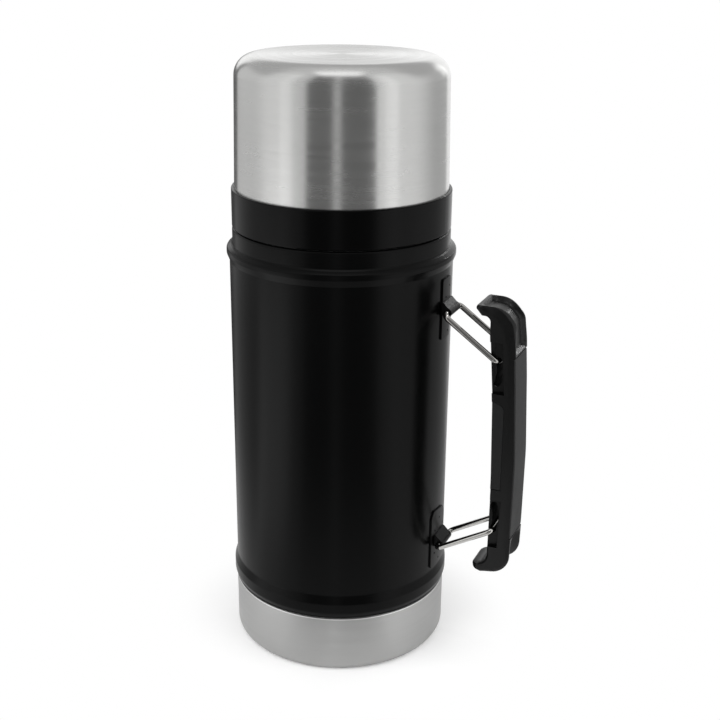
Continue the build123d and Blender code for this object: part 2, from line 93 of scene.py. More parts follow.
VALUE, VECTOR = "NodeSocketFloat", "NodeSocketVector"
WHITE, BLACK = (1.0, 1.0, 1.0, 1.0), (0.0, 0.0, 0.0, 1.0)


def solid(colour: Colour) -> Shade:
    """A colour with full alpha."""
    return (*colour, 1.0)


# ---- Node trees -----------------------------------------------------------------------------------


class NodeBoard:
    """A node tree with short calls for adding and joining nodes."""

    def __init__(self, tree: Tree) -> None:
        """Keep the tree that nodes are added to."""
        self.tree = tree

    def add(self, kind: str, inputs: dict | None = None, **settings: object) -> Node:
        """Add one node.

        Args:
            kind: node type name without its ShaderNode prefix.
            inputs: socket name or index to a value, or to a socket that is joined to it.
            settings: properties of the node.

        Returns:
            The new node.
        """
        node = self.tree.nodes.new("ShaderNode" + kind)
        for key, value in settings.items():
            setattr(node, key, value)
        for key, value in (inputs or {}).items():
            self.feed(node.inputs[key], value)
        return node

    def feed(self, socket: Socket, value: object) -> None:
        """Set an input socket, or join a socket to it.

        Args:
            socket: the input socket.
            value: its value, or the socket that is joined to it.
        """
        if isinstance(value, Socket):
            self.tree.links.new(value, socket)
        else:
            socket.default_value = value

    def math(self, operation: str, first: object, second: object = 0.0) -> Socket:
        """Result of a Math node on two values or sockets."""
        return self.add("Math", {0: first, 1: second}, operation=operation).outputs[0]

    def product(self, *values: object) -> Socket:
        """Product of values and sockets."""
        return reduce(lambda first, second: self.math("MULTIPLY", first, second), values)

    def total(self, *values: object) -> Socket:
        """Sum of values and sockets."""
        return reduce(lambda first, second: self.math("ADD", first, second), values)

    def apart(self, value: Socket, middle: float) -> Socket:
        """How far a value is from a middle."""
        return self.math("ABSOLUTE", self.math("SUBTRACT", value, middle))

    def smooth(
        self, value: object, low: float, high: float, at_low: float = 0.0, at_high: float = 1.0,
    ) -> Socket:
        """Smooth step of a value.

        Args:
            value: the value or socket that is mapped.
            low: where the step begins.
            high: where it ends.
            at_low: result at its beginning.
            at_high: result at its end.

        Returns:
            The step's output socket.
        """
        inputs = {"Value": value, "From Min": low, "From Max": high, "To Min": at_low, "To Max": at_high}
        return self.add("MapRange", inputs, interpolation_type="SMOOTHSTEP").outputs["Result"]

    def mix(self, factor: object, first: object, second: object) -> Socket:
        """Mix of two colours."""
        return self.add("Mix", {0: factor, 6: first, 7: second}, data_type="RGBA").outputs[2]

    def place(self) -> Socket:
        """Place on the piece, in its object's coordinates."""
        return self.add("TexCoord").outputs["Object"]

    def axes(self, place: Socket) -> tuple[Socket, ...]:
        """The three coordinates of a place."""
        return tuple(self.add("SeparateXYZ", {0: place}).outputs)

    def point(self, x: object, y: object, z: object) -> Socket:
        """The place with three coordinates."""
        return self.add("CombineXYZ", {0: x, 1: y, 2: z}).outputs[0]

    def dot(self, first: Socket, second: Point) -> Socket:
        """Dot product of two directions."""
        return self.add("VectorMath", {0: first, 1: second}, operation="DOT_PRODUCT").outputs["Value"]

    def length(self, place: Socket) -> Socket:
        """Distance of a place from the origin."""
        return self.add("VectorMath", {0: place}, operation="LENGTH").outputs["Value"]

    def heading(self, place: Socket) -> Socket:
        """Direction from the origin to a place."""
        return self.add("VectorMath", {0: place}, operation="NORMALIZE").outputs["Vector"]

    def noise(self, place: Socket, scale: object, detail: float, roughness: float = 0.5) -> Socket:
        """Noise between 0 and 1 at a place."""
        inputs = {"Vector": place, "Scale": scale, "Detail": detail, "Roughness": roughness}
        return self.add("TexNoise", inputs).outputs[0]


class GroupBoard(NodeBoard):
    """A named shader node group with its inputs and outputs."""

    def __init__(self, name: str, inputs: dict[str, float | Point], outputs: dict[str, str]) -> None:
        """Make the group's tree and sockets.

        Args:
            name: name of the group.
            inputs: default of each input, which is a vector where it has three numbers.
            outputs: socket type of each output.
        """
        super().__init__(bpy.data.node_groups.new(name, "ShaderNodeTree"))
        for label, default in inputs.items():
            kind = VALUE if isinstance(default, float) else VECTOR
            socket = self.tree.interface.new_socket(label, in_out="INPUT", socket_type=kind)
            socket.default_value = default
        for label, kind in outputs.items():
            self.tree.interface.new_socket(label, in_out="OUTPUT", socket_type=kind)
        self.source = self.tree.nodes.new("NodeGroupInput")
        self.result = self.tree.nodes.new("NodeGroupOutput")

    def given(self, name: str) -> Socket:
        """Socket of one of the group's inputs."""
        return self.source.outputs[name]

    def give(self, **values: Socket) -> Tree:
        """Join sockets to the group's outputs, and hand over the finished group."""
        for name, value in values.items():
            self.feed(self.result.inputs[name], value)
        return self.tree


class Effects:
    """The shader node groups that more than one finish uses."""

    def __init__(self) -> None:
        """Build every group."""
        self.brushing = self._brushing()
        self.grain = self._grain()
        self.handling = self._handling()
        self.studio = self._studio()

    def _brushing(self) -> Tree:
        """Fine lines round the jar's axis, on sides and on flat ends alike.

        Returns:
            Group with two streak masks and the direction round the axis.
        """
        board = GroupBoard(
            "brushing_round_axis", {"Line Spacing": 0.0004, "Line Length": 0.03},
            {"Streak": VALUE, "Broad": VALUE, "Round": VECTOR},
        )
        x, y, z = board.axes(board.place())
        run = board.math("SUBTRACT", z, board.length(board.point(x, y, 0.0)))
        across = board.math("DIVIDE", run, board.given("Line Spacing"))
        length = board.given("Line Length")
        lined = board.point(board.math("DIVIDE", x, length), board.math("DIVIDE", y, length), across)
        broader = {0: lined, 1: (0.6, 0.6, 0.18)}
        wide = board.add("VectorMath", broader, operation="MULTIPLY").outputs[0]
        turned = board.point(board.product(y, -1.0), x, 0.0)
        return board.give(
            Streak=board.noise(lined, 1.0, 3.0, 0.65), Broad=board.noise(wide, 1.0, 2.0),
            Round=board.heading(turned),
        )

    def _grain(self) -> Tree:
        """Fine moulded or sprayed grain, as a normal."""
        board = GroupBoard("surface_grain", {"Grain Size": 0.0004, "Depth": 0.00001}, {"Normal": VECTOR})
        grain = board.noise(board.place(), board.math("DIVIDE", 1.0, board.given("Grain Size")), 2.0)
        bump = board.add("Bump", {"Height": grain, "Distance": board.given("Depth")})
        return board.give(Normal=bump.outputs[0])

    def _handling(self) -> Tree:
        """Masks of the faint smudges and the dust that handling leaves."""
        board = GroupBoard("handling_marks", {"Patch Size": 0.02}, {"Smudge": VALUE, "Dust": VALUE})
        place = board.place()
        patches = board.noise(place, board.math("DIVIDE", 1.0, board.given("Patch Size")), 5.0)
        specks = board.noise(place, DUST_SCALE, 2.0)
        return board.give(Smudge=board.smooth(patches, 0.42, 0.72), Dust=board.smooth(specks, 0.7, 0.82))

    def _studio(self) -> Tree:
        """What glossy surfaces see round the jar: pale cards with a darker opening at the front.

        Returns:
            Group that turns a direction into a level.
        """
        board = GroupBoard("studio_cards", {"Towards": (0.0, 0.0, 0.0)}, {"Level": VALUE})
        towards = board.given("Towards")
        turned = board.math("ARCTAN2", board.dot(towards, Studio.SIDE), board.dot(towards, Studio.FRONT))
        azimuth = board.math("DEGREES", turned)
        raised = board.smooth(board.axes(towards)[2], 0.0, 0.12)
        level: Socket | float = Studio.DARK_LEVEL
        for card in Studio.CARDS:
            off = board.apart(azimuth, card.azimuth)
            off = board.math("MINIMUM", off, board.math("SUBTRACT", FULL_TURN, off))
            amount = board.smooth(off, card.half_width, card.half_width + card.edge, card.level, 0.0)
            level = board.total(board.product(amount, raised) if card.raised else amount, level)
        return board.give(Level=level)


# ---- Finishes -------------------------------------------------------------------------------------


class Coat(NodeBoard):
    """A material's nodes, with its shader and the effects that it may use."""

    def __init__(self, name: str, effects: Effects) -> None:
        """Make the material.

        Args:
            name: the material's name.
            effects: the shared node groups.
        """
        self.made = bpy.data.materials.new(name)
        self.made.use_nodes = True
        super().__init__(self.made.node_tree)
        self.shader = self.tree.nodes["Principled BSDF"]
        self.effects = effects

    def put(self, inputs: dict) -> None:
        """Feed some of the shader's inputs."""
        for name, value in inputs.items():
            self.feed(self.shader.inputs[name], value)

    def grained(self, size: float, depth: float) -> None:
        """Give the shader's normal a fine grain."""
        grain = self.add("Group", {"Grain Size": size, "Depth": depth}, node_tree=self.effects.grain)
        self.put({"Normal": grain.outputs["Normal"]})

    def handled(self, patch: float, smudge: float, roughness: object) -> Socket:
        """Roughen the shader with smudges.

        Args:
            patch: size of a patch.
            smudge: how much rougher a smudge is.
            roughness: the roughness between smudges.

        Returns:
            The mask of the dust.
        """
        marks = self.add("Group", {"Patch Size": patch}, node_tree=self.effects.handling).outputs
        self.put({"Roughness": self.total(self.product(marks["Smudge"], smudge), roughness)})
        return marks["Dust"]


@dataclass(frozen=True)
class Finish:
    """A material: its name, colour and roughness, and how its nodes are joined."""

    name: str
    colour: Colour
    roughness: float

    def material(self, effects: Effects) -> Material:
        """Build the material.

        Args:
            effects: the shared node groups.

        Returns:
            The finished material.
        """
        coat = Coat(self.name, effects)
        coat.made.diffuse_color = self.tone(1.0)
        coat.put({"Base Color": self.tone(1.0), "Roughness": self.roughness})
        self.dress(coat)
        return coat.made

    def dress(self, coat: Coat) -> None:
        """Join the finish's own nodes to the shader."""

    def tone(self, factor: float) -> Shade:
        """The finish's colour, made lighter or darker by a factor."""
        return solid(tuple(min(1.0, channel * factor) for channel in self.colour))


@dataclass(frozen=True)
class BrushedSteel(Finish):
    """Steel brushed round the jar's axis, with a painted highlight band above a given height where one is
    set.
    """

    spread: float = 0.7
    line_spacing: float = 0.0004
    line_depth: float = 0.000006
    contrast: float = 0.12
    uneven: float = 0.03
    smudge: float = 0.03
    patch: float = 0.03
    # Painted highlight: from the given height upwards the colour is made lighter by a factor, with a soft
    # lower edge.
    painted_highlight_above: float = 0.0
    painted_highlight_gain: float = 1.6
    painted_highlight_edge: float = 0.0002

    def dress(self, coat: Coat) -> None:
        """Join the brushing to colour, roughness, normal and tangent, and paint a lighter highlight band
        into the colour where one is set.

        Args:
            coat: the material's nodes.
        """
        coat.put({"Metallic": 1.0, "Anisotropic": self.spread, "Anisotropic Rotation": 0.25})
        spacing = {"Line Spacing": self.line_spacing}
        lines = coat.add("Group", spacing, node_tree=coat.effects.brushing).outputs
        tone = coat.mix(lines["Streak"], self.tone(1 - self.contrast), self.tone(1 + self.contrast))
        # Painted highlight: a light band along the top edge, painted into the colour.
        if self.painted_highlight_above:
            height = coat.axes(coat.place())[2]
            rim = coat.smooth(height, self.painted_highlight_above - self.painted_highlight_edge, self.painted_highlight_above)
            tone = coat.mix(rim, tone, self.tone(self.painted_highlight_gain))
        low, high = self.roughness - self.uneven, self.roughness + self.uneven
        coat.handled(self.patch, self.smudge, coat.smooth(lines["Broad"], 0.3, 0.7, low, high))
        bump = coat.add("Bump", {"Height": lines["Streak"], "Distance": self.line_depth})
        coat.put({"Base Color": tone, "Normal": bump.outputs[0], "Tangent": lines["Round"]})


@dataclass(frozen=True)
class Sprayed(Finish):
    """Satin paint, moulded plastic or rubber: a dark colour with grain, smudges and a little dust."""

    specular: float = 0.25
    grain_size: float = 0.0005
    grain_depth: float = 0.000004
    smudge: float = 0.05
    patch: float = 0.025
    dust: float = 0.0

    def dress(self, coat: Coat) -> None:
        """Join grain and handling marks to the shader.

        Args:
            coat: the material's nodes.
        """
        coat.put({"Specular IOR Level": self.specular})
        coat.grained(self.grain_size, self.grain_depth)
        dusted = coat.handled(self.patch, self.smudge, self.roughness)
        dusty = solid(tuple(channel + self.dust for channel in self.colour))
        coat.put({"Base Color": coat.mix(dusted, self.tone(1.0), dusty)})


@dataclass(frozen=True)
class Moulded(Sprayed):
    """Moulded plastic, smooth outside and left rough in the slots near its middle."""

    slot_half: float = 0.0066
    slot_inner: float = 0.0771
    slot_outer: float = 0.0838
    slot_top: float = 0.160
    slot_edge: float = 0.0002
    slot_rough: float = 0.95

    def dress(self, coat: Coat) -> None:
        """Join grain and handling marks, and roughen the slots.

        Args:
            coat: the material's nodes.
        """
        super().dress(coat)
        out, across, up = coat.axes(coat.place())
        edge = self.slot_edge
        inside = coat.product(
            coat.smooth(coat.math("ABSOLUTE", across), self.slot_half, self.slot_half + edge, 1.0, 0.0),
            coat.smooth(out, self.slot_inner, self.slot_inner + edge),
            coat.smooth(out, self.slot_outer, self.slot_outer + edge, 1.0, 0.0),
            coat.smooth(up, self.slot_top, self.slot_top + 5 * edge, 1.0, 0.0),
            self.slot_rough,
        )
        smooth_part = coat.shader.inputs["Roughness"].links[0].from_socket
        coat.put({"Roughness": coat.math("MAXIMUM", smooth_part, inside)})


@dataclass(frozen=True)
class Polished(Finish):
    """Drawn or rolled metal, polished bright and slightly uneven."""

    ripple_size: float = 0.002
    ripple_depth: float = 0.000003
    smudge: float = 0.06
    patch: float = 0.01

    def dress(self, coat: Coat) -> None:
        """Join the ripple and the smudges to the shader."""
        coat.put({"Metallic": 1.0})
        coat.grained(self.ripple_size, self.ripple_depth)
        coat.handled(self.patch, self.smudge, self.roughness)


class Finishes(Enum):
    """The finishes of the jar."""

    SHELL_PAINT = Sprayed("shell_paint", (0.0011, 0.0012, 0.0012), 0.24, specular=0.11, smudge=0.015)
    BRACKET_PAINT = Sprayed("bracket_paint", (0.0012, 0.0012, 0.0012), 0.3, specular=0.16)
    LID_STEEL = BrushedSteel(
        "lid_steel", (0.66, 0.66, 0.65), 0.24, spread=0.8, line_depth=0.000003, contrast=0.04,
    )
    # The base cup's top edge has a painted highlight band.
    BASE_STEEL = BrushedSteel(
        "base_steel", (0.49, 0.49, 0.485), 0.34, line_depth=0.000003, contrast=0.03, painted_highlight_above=0.0274,
    )
    INNER_STEEL = BrushedSteel("inner_steel", (0.62, 0.62, 0.61), 0.32, contrast=0.06)
    WIRE = Polished("polished_wire", (0.62, 0.61, 0.59), 0.08)
    # Painted shade: a darker copy of the wire colour, used for the upper bail only.
    SHADED_UPPER_WIRE = Polished("shaded_upper_wire", (0.44, 0.43, 0.415), 0.04)
    RING_PLASTIC = Sprayed(
        "ring_plastic", (0.0005, 0.00055, 0.0006), 0.22, specular=0.12, grain_size=0.0003, smudge=0.015,
    )
    GRIP_PLASTIC = Moulded("grip_plastic", (0.0014, 0.0015, 0.0015), 0.3, specular=0.34, grain_size=0.0004)
    COVER_PLASTIC = Sprayed("cover_plastic", (0.0075, 0.008, 0.008), 0.45, specular=0.3, grain_size=0.0004)
    GRIP_RUBBER = Sprayed(
        "grip_rubber", (0.014, 0.0142, 0.0144), 0.55, specular=0.4, grain_depth=0.00001, smudge=0.08,
        dust=0.006,
    )
    SILICONE = Sprayed("silicone", (0.55, 0.55, 0.53), 0.55, specular=0.4)
    FOAM = Sprayed("foam", (0.80, 0.78, 0.70), 0.9, grain_size=0.001, grain_depth=0.0001)
    FOIL = Polished("copper_foil", (0.80, 0.45, 0.30), 0.18)


# ---- Studio ---------------------------------------------------------------------------------------


@dataclass(frozen=True)
class Card:
    """A pale card that glossy surfaces see: where its middle is, how wide, how soft and how bright."""

    azimuth: float
    half_width: float
    edge: float
    level: float
    raised: bool = False


@dataclass(frozen=True)
class Lamp:
    """A soft lamp, or a narrow spot, with its place, what it aims at, its size and its power."""

    name: str
    kind: str
    place: Point
    aim: Point
    size: float
    energy: float

    def build(self, spot_reach: float) -> None:
        """Add the lamp.

        Args:
            spot_reach: half width of what a spot lights.
        """
        bpy.ops.object.light_add(type=self.kind, location=self.place)
        lamp = bpy.context.object
        lamp.name = self.name
        lamp.data.energy = self.energy
        ray = Vector(self.aim) - Vector(self.place)
        lamp.rotation_euler = ray.to_track_quat("-Z", "Y").to_euler()
        if self.kind == "AREA":
            lamp.data.size = self.size
            lamp.visible_glossy = False
        else:
            lamp.data.shadow_soft_size = self.size
            lamp.data.spot_size = 2 * math.atan(spot_reach / ray.length)
            lamp.data.spot_blend = 0.3


@dataclass
class Studio:
    """Floor, world, lamps and camera."""

    FRONT = (0.4114, -0.9114, 0.0)
    SIDE = (0.9114, 0.4114, 0.0)
    DARK_LEVEL = 0.155
    CARDS = (
        Card(-90.0, 51.0, 4.0, 0.50),
        Card(-60.0, 5.0, 4.0, 0.15),
        Card(-75.0, 8.0, 22.0, 0.12),
        Card(-100.0, 20.0, 40.0, 0.065),
        Card(-5.0, 1.5, 5.0, 0.38),
        Card(88.5, 51.5, 4.0, 0.40),
        Card(39.0, 1.5, 3.0, 0.20),
        Card(52.0, 6.0, 4.0, 0.24),
        Card(70.0, 8.0, 40.0, 0.30),
        Card(141.0, 6.0, 4.0, 0.60, raised=True),
        Card(160.0, 14.0, 6.0, 0.95),
        Card(-167.0, 13.0, 6.0, 0.98, raised=True),
    )
    BODY, HOOK = (0.0, 0.0, 0.13), (0.082, 0.0, 0.164)
    LAMPS = (
        Lamp("key_lamp", "AREA", (-0.55, -0.75, 0.95), BODY, 0.9, 5.5),
        Lamp("fill_lamp", "AREA", (0.95, -0.15, 0.75), BODY, 0.9, 3.2),
        Lamp("grip_top_spot", "SPOT", (0.15, 0.056, 0.957), HOOK, 0.05, 6.0),
        Lamp("grip_back_spot", "SPOT", (0.30, 0.696, 0.45), HOOK, 0.07, 6.0),
    )

    effects: Effects
    floor_half: float = 3.0
    floor_colour: Colour = (0.93, 0.93, 0.93)
    far_floor: float = 0.31
    shadow_floor: float = 0.05
    white_floor: float = 0.09
    near_glow: float = 0.15
    paper_tone: float = 0.85
    sky_level: float = 0.78
    wall_level: float = 0.5
    canopy_level: float = 0.66
    softbox_level: float = 0.95
    spot_reach: float = 0.024
    camera_place: Point = (0.2221, -0.4920, 0.3361)
    camera_yaw: float = 0.0166 - math.radians(24.3)
    camera_pitch: float = math.radians(20.207)
    camera_roll: float = math.radians(0.567)
    camera_lens: float = 60.85

    def build(self) -> None:
        """Make the whole studio."""
        self._floor()
        self._world()
        for lamp in self.LAMPS:
            lamp.build(self.spot_reach)
        self._camera()
        bpy.context.scene.view_settings.view_transform = "Standard"

    def _seen(self, board: NodeBoard, towards: Socket) -> tuple[Socket, Socket, Socket]:
        """Level of the cards in a direction, and how far it points ahead and aside.

        Args:
            board: the nodes of the floor or the world.
            towards: the direction.

        Returns:
            The level and the two shares.
        """
        cards = board.add("Group", {"Towards": towards}, node_tree=self.effects.studio)
        return cards.outputs["Level"], board.dot(towards, self.FRONT), board.dot(towards, self.SIDE)

    def _floor(self) -> None:
        """Pale floor; glossy surfaces see the studio cards in it, more so away from the jar."""
        bpy.ops.mesh.primitive_plane_add(size=2 * self.floor_half, location=(0, 0, 0))
        floor = bpy.context.object
        floor.name = "floor"
        coat = Coat("floor_paper", self.effects)
        place = coat.place()
        away = coat.length(place)
        level, ahead, aside = self._seen(coat, coat.heading(place))
        # Glossy surfaces see the floor paler in a strip on the left and darker behind the jar.
        strip = coat.product(
            coat.smooth(aside, -0.72, -0.79), coat.smooth(ahead, 0.0, 0.07, 0.0, 0.7),
            coat.smooth(away, 0.09, 0.2),
        )
        back = coat.product(coat.smooth(aside, 0.1, -0.1), coat.smooth(ahead, 0.03, -0.1, 0.0, -0.3))
        tone = coat.mix(coat.smooth(away, 0.5, 0.85), coat.total(strip, back, self.paper_tone), WHITE)
        colour = solid(self.floor_colour)
        far = coat.smooth(away, 0.0, self.far_floor)
        glossy = coat.mix(far, colour, coat.product(level, tone))
        path = coat.add("LightPath").outputs
        # The camera sees plain white away from the jar, and the jar's shadow near it.
        clear = coat.smooth(away, self.shadow_floor, self.white_floor)
        paper = coat.mix(path["Is Glossy Ray"], colour, glossy)
        glow = coat.total(coat.product(clear, 1 - self.near_glow), self.near_glow)
        coat.put({
            "Roughness": 0.95,
            "Specular IOR Level": 0.0,
            "Base Color": coat.mix(coat.product(path["Is Camera Ray"], clear), paper, BLACK),
            "Emission Color": WHITE,
            "Emission Strength": coat.product(path["Is Camera Ray"], glow),
        })
        floor.data.materials.append(coat.made)

    def _world(self) -> None:
        """Even sky for diffuse light, white for the camera, studio cards for glossy surfaces."""
        world = bpy.data.worlds.new("studio")
        bpy.context.scene.world = world
        world.use_nodes = True
        board = NodeBoard(world.node_tree)
        direction = board.add("TexCoord").outputs["Generated"]
        level, ahead, aside = self._seen(board, direction)
        height = board.axes(direction)[2]
        # A softbox hangs in the canopy, a little ahead of the jar.
        rise = board.math("MAXIMUM", height, 0.05)
        along = board.apart(board.math("DIVIDE", ahead, rise), 0.26)
        across = board.apart(board.math("DIVIDE", aside, rise), -0.03)
        softbox = board.product(
            board.smooth(along, 0.17, 0.26, 1.0, 0.0), board.smooth(across, 0.25, 0.33, 1.0, 0.0),
        )
        canopy = board.total(board.product(softbox, self.softbox_level), self.canopy_level)
        behind = board.product(board.smooth(ahead, 0.1, -0.15), board.smooth(height, 0.34, 0.5))
        walls = board.mix(behind, level, solid((self.wall_level,) * 3))
        glossy = board.mix(board.smooth(height, 0.78, 0.93), walls, canopy)
        path = board.add("LightPath").outputs
        sky = board.mix(path["Is Glossy Ray"], solid((self.sky_level,) * 3), glossy)
        backdrop = world.node_tree.nodes["Background"]
        board.feed(backdrop.inputs["Color"], board.mix(path["Is Camera Ray"], sky, WHITE))

    def _camera(self) -> None:
        """Camera from its place, heading, pitch and roll."""
        yaw, pitch, roll = self.camera_yaw, self.camera_pitch, self.camera_roll
        ahead = Vector((math.sin(yaw) * math.cos(pitch), math.cos(yaw) * math.cos(pitch), -math.sin(pitch)))
        level = Vector((math.cos(yaw), -math.sin(yaw), 0.0))
        upright = level.cross(ahead)
        across = math.cos(roll) * level + math.sin(roll) * upright
        upward = -math.sin(roll) * level + math.cos(roll) * upright
        bpy.ops.object.camera_add()
        camera = bpy.context.object
        camera.name = "camera"
        camera.data.lens = self.camera_lens
        camera.data.sensor_width = 36.0
        turn = Matrix((across, upward, -ahead)).transposed().to_4x4()
        camera.matrix_world = Matrix.Translation(Vector(self.camera_place)) @ turn
        bpy.context.scene.camera = camera


# ---- Shaping --------------------------------------------------------------------------------------


def metres(*sizes: float) -> tuple[float, ...]:
    """Sizes in millimetres, as metres."""
    return tuple(size * MM for size in sizes)


def ease(value: float, low: float, high: float) -> float:
    """Smooth step from 0 at low to 1 at high."""
    part = min(max((value - low) / (high - low), 0.0), 1.0)
    return part * part * (3 - 2 * part)


@dataclass(frozen=True)
class Corner:
    """A corner of an outline: distance out, height and radius of the bend."""

    out: float
    up: float
    bend: float = 0.0


def rounded(corners: Sequence[Corner], steps: int = 8, closed: bool = False) -> list[Place]:
    """Outline through corners, each rounded by its radius.

    Args:
        corners: the corners in order.
        steps: points on the arc of one rounded corner.
        closed: whether the last corner joins the first.

    Returns:
        Places in order.
    """
    spots = [Vector((corner.out, corner.up)) for corner in corners]
    places: list[Place] = []
    for index, corner in enumerate(corners):
        if corner.bend <= 0 or not (closed or 0 < index < len(corners) - 1):
            places.append((corner.out, corner.up))
            continue
        here = spots[index]
        back = (spots[index - 1] - here).normalized()
        on = (spots[(index + 1) % len(corners)] - here).normalized()
        half = back.angle(on) / 2
        centre = here + (back + on).normalized() * corner.bend / math.sin(half)
        first = here + back * corner.bend / math.tan(half) - centre
        last = here + on * corner.bend / math.tan(half) - centre
        turn = first.angle_signed(last)
        for step in range(steps + 1):
            arm = first.copy()
            arm.rotate(Matrix.Rotation(-turn * step / steps, 2))
            places.append((centre.x + arm.x, centre.y + arm.y))
    return places


class Bench:
    """One piece on the bench, shaped with the edit-mode tools."""

    def __init__(self, name: str, primitive: Callable, **settings: object) -> None:
        """Add a primitive and take it onto the bench, selected all over.

        Args:
            name: the piece's name.
            primitive: the operator that adds it.
            settings: its size, place and turn.
        """
        bpy.ops.object.select_all(action="DESELECT")
        primitive(**settings)
        self.piece = bpy.context.object
        self.piece.name = name
        self.enter()

    def enter(self) -> None:
        """Enter edit mode with everything selected."""
        bpy.ops.object.mode_set(mode="EDIT")
        bpy.ops.mesh.select_all(action="SELECT")

    def settle(self) -> None:
        """Leave edit mode and put the piece's place and turn into its mesh."""
        bpy.ops.object.mode_set(mode="OBJECT")
        bpy.ops.object.transform_apply(location=True, rotation=True, scale=True)

    def select(self, test: Callable[[Vector], bool]) -> None:
        """Select the vertices whose place passes a test, and nothing else.

        Args:
            test: says whether a vertex at a place is wanted.
        """
        bpy.ops.mesh.select_mode(type="VERT")
        bpy.ops.mesh.select_all(action="DESELECT")
        mesh = bmesh.from_edit_mesh(self.piece.data)
        for vertex in mesh.verts:
            vertex.select = test(self.piece.matrix_world @ vertex.co)
        mesh.select_flush(True)
        bmesh.update_edit_mesh(self.piece.data)

    def reshape(self, moved: Callable[[Vertex], Sequence[float]]) -> None:
        """Move every vertex to the place that a function gives it, and select everything.

        Args:
            moved: gives a vertex's new place.
        """
        bpy.ops.object.mode_set(mode="OBJECT")
        for vertex in self.piece.data.vertices:
            vertex.co = moved(vertex)
        self.enter()

    def extrude(self, by: Point) -> None:
        """Extrude what is selected by a step."""
        bpy.ops.mesh.extrude_region_move(TRANSFORM_OT_translate={"value": by})

    def finish(self, angle: float = 32.0) -> Piece:
        """Join doubles, turn the faces outwards, smooth them and leave edit mode.

        Args:
            angle: sharpest angle in degrees that is still shaded smooth.

        Returns:
            The piece, its place in its mesh.
        """
        bpy.ops.mesh.select_all(action="SELECT")
        bpy.ops.mesh.remove_doubles(threshold=0.004 * MM)
        bpy.ops.mesh.normals_make_consistent(inside=False)
        self.settle()
        bpy.ops.object.shade_smooth_by_angle(angle=math.radians(angle))
        return self.piece


def turn_piece(name: str, outline: Sequence[Place]) -> Piece:
    """Raise a piece round the jar's axis, ring by ring, along an outline.

    Args:
        name: the piece's name.
        outline: radius and height of each ring; the last one may close on the first or on the axis.

    Returns:
        The turned piece.
    """
    rings = [metres(*ring) for ring in outline]
    radius, height = rings[0]
    bench = Bench(
        name, bpy.ops.mesh.primitive_circle_add, vertices=SEGMENTS, radius=radius,
        location=(0.0, 0.0, height),
    )
    for next_radius, next_height in rings[1:]:
        bench.extrude((0.0, 0.0, next_height - height))
        grown = next_radius / radius
        bpy.ops.transform.resize(value=(grown, grown, 1.0), center_override=(0.0, 0.0, next_height))
        radius, height = next_radius, next_height
    pole = POLE * MM
    for radius, height in (rings[0], rings[-1]):
        if radius < pole * 1.01:
            bench.select(lambda at: math.hypot(at.x, at.y) < pole * 1.05 and abs(at.z - height) < 1e-5)
            bpy.ops.mesh.merge(type="CENTER")
    return bench.finish()


def slab(name: str, corners: Sequence[Place], near: float, far: float, lean: float = 0.0) -> Piece:
    """Block with a side outline, raised across the handle.

    Args:
        name: the block's name.
        corners: places of the outline.
        near: where it begins across.
        far: where it ends across.
        lean: how much its end nearer the middle leans inwards, for each millimetre outwards.

    Returns:
        The closed block.
    """
    inner, start = min(near, far, key=abs), min(out for out, _ in corners) * MM

    def leaned(vertex: Vertex) -> Vector:
        """A vertex's place, drawn inwards at the block's inner end."""
        place = vertex.co.copy()
        if abs(place.y / MM - inner) < 0.01:
            place.y -= math.copysign(lean * (place.x - start), inner)
        return place

    bench = Bench(name, bpy.ops.mesh.primitive_circle_add, vertices=len(corners), radius=0.05)
    bench.reshape(lambda vertex: metres(corners[vertex.index][0], near, corners[vertex.index][1]))
    bpy.ops.mesh.edge_face_add()
    bench.extrude((0.0, (far - near) * MM, 0.0))
    if lean:
        bench.reshape(leaned)
    return bench.finish()


def take_up(piece: Piece) -> None:
    """Select one piece, and nothing else."""
    bpy.ops.object.select_all(action="DESELECT")
    bpy.context.view_layer.objects.active = piece
    piece.select_set(True)


def apply_modifier(piece: Piece, kind: str, **settings: object) -> None:
    """Add a modifier with its settings and apply it.

    Args:
        piece: the piece.
        kind: type of the modifier.
        settings: its properties.
    """
    take_up(piece)
    modifier = piece.modifiers.new(kind.lower(), kind)
    for key, value in settings.items():
        setattr(modifier, key, value)
    bpy.ops.object.modifier_apply(modifier=modifier.name)


def cut_away(piece: Piece, cutter: Piece, operation: str = "DIFFERENCE") -> None:
    """Cut a block out of a piece, join it on, or keep only what lies in it, and throw the block away.

    Args:
        piece: the piece.
        cutter: the block.
        operation: name of the boolean operation.
    """
    apply_modifier(piece, "BOOLEAN", operation=operation, object=cutter, solver="EXACT")
    bpy.data.objects.remove(cutter, do_unlink=True)


def bevel(piece: Piece, width: float, segments: int) -> None:
    """Round a piece's sharp edges by a small width.

    Args:
        piece: the piece.
        width: width of the rounding.
        segments: steps across it.
    """
    apply_modifier(
        piece, "BEVEL", width=width * MM, segments=segments, limit_method="ANGLE",
        angle_limit=math.radians(35),
    )


def even_out(piece: Piece) -> None:
    """Even out a piece's shading."""
    take_up(piece)
    bpy.ops.object.shade_smooth_by_angle(angle=math.radians(30))
    apply_modifier(piece, "WEIGHTED_NORMAL", weight=90, keep_sharp=True)


# ---- The jar --------------------------------------------------------------------------------------


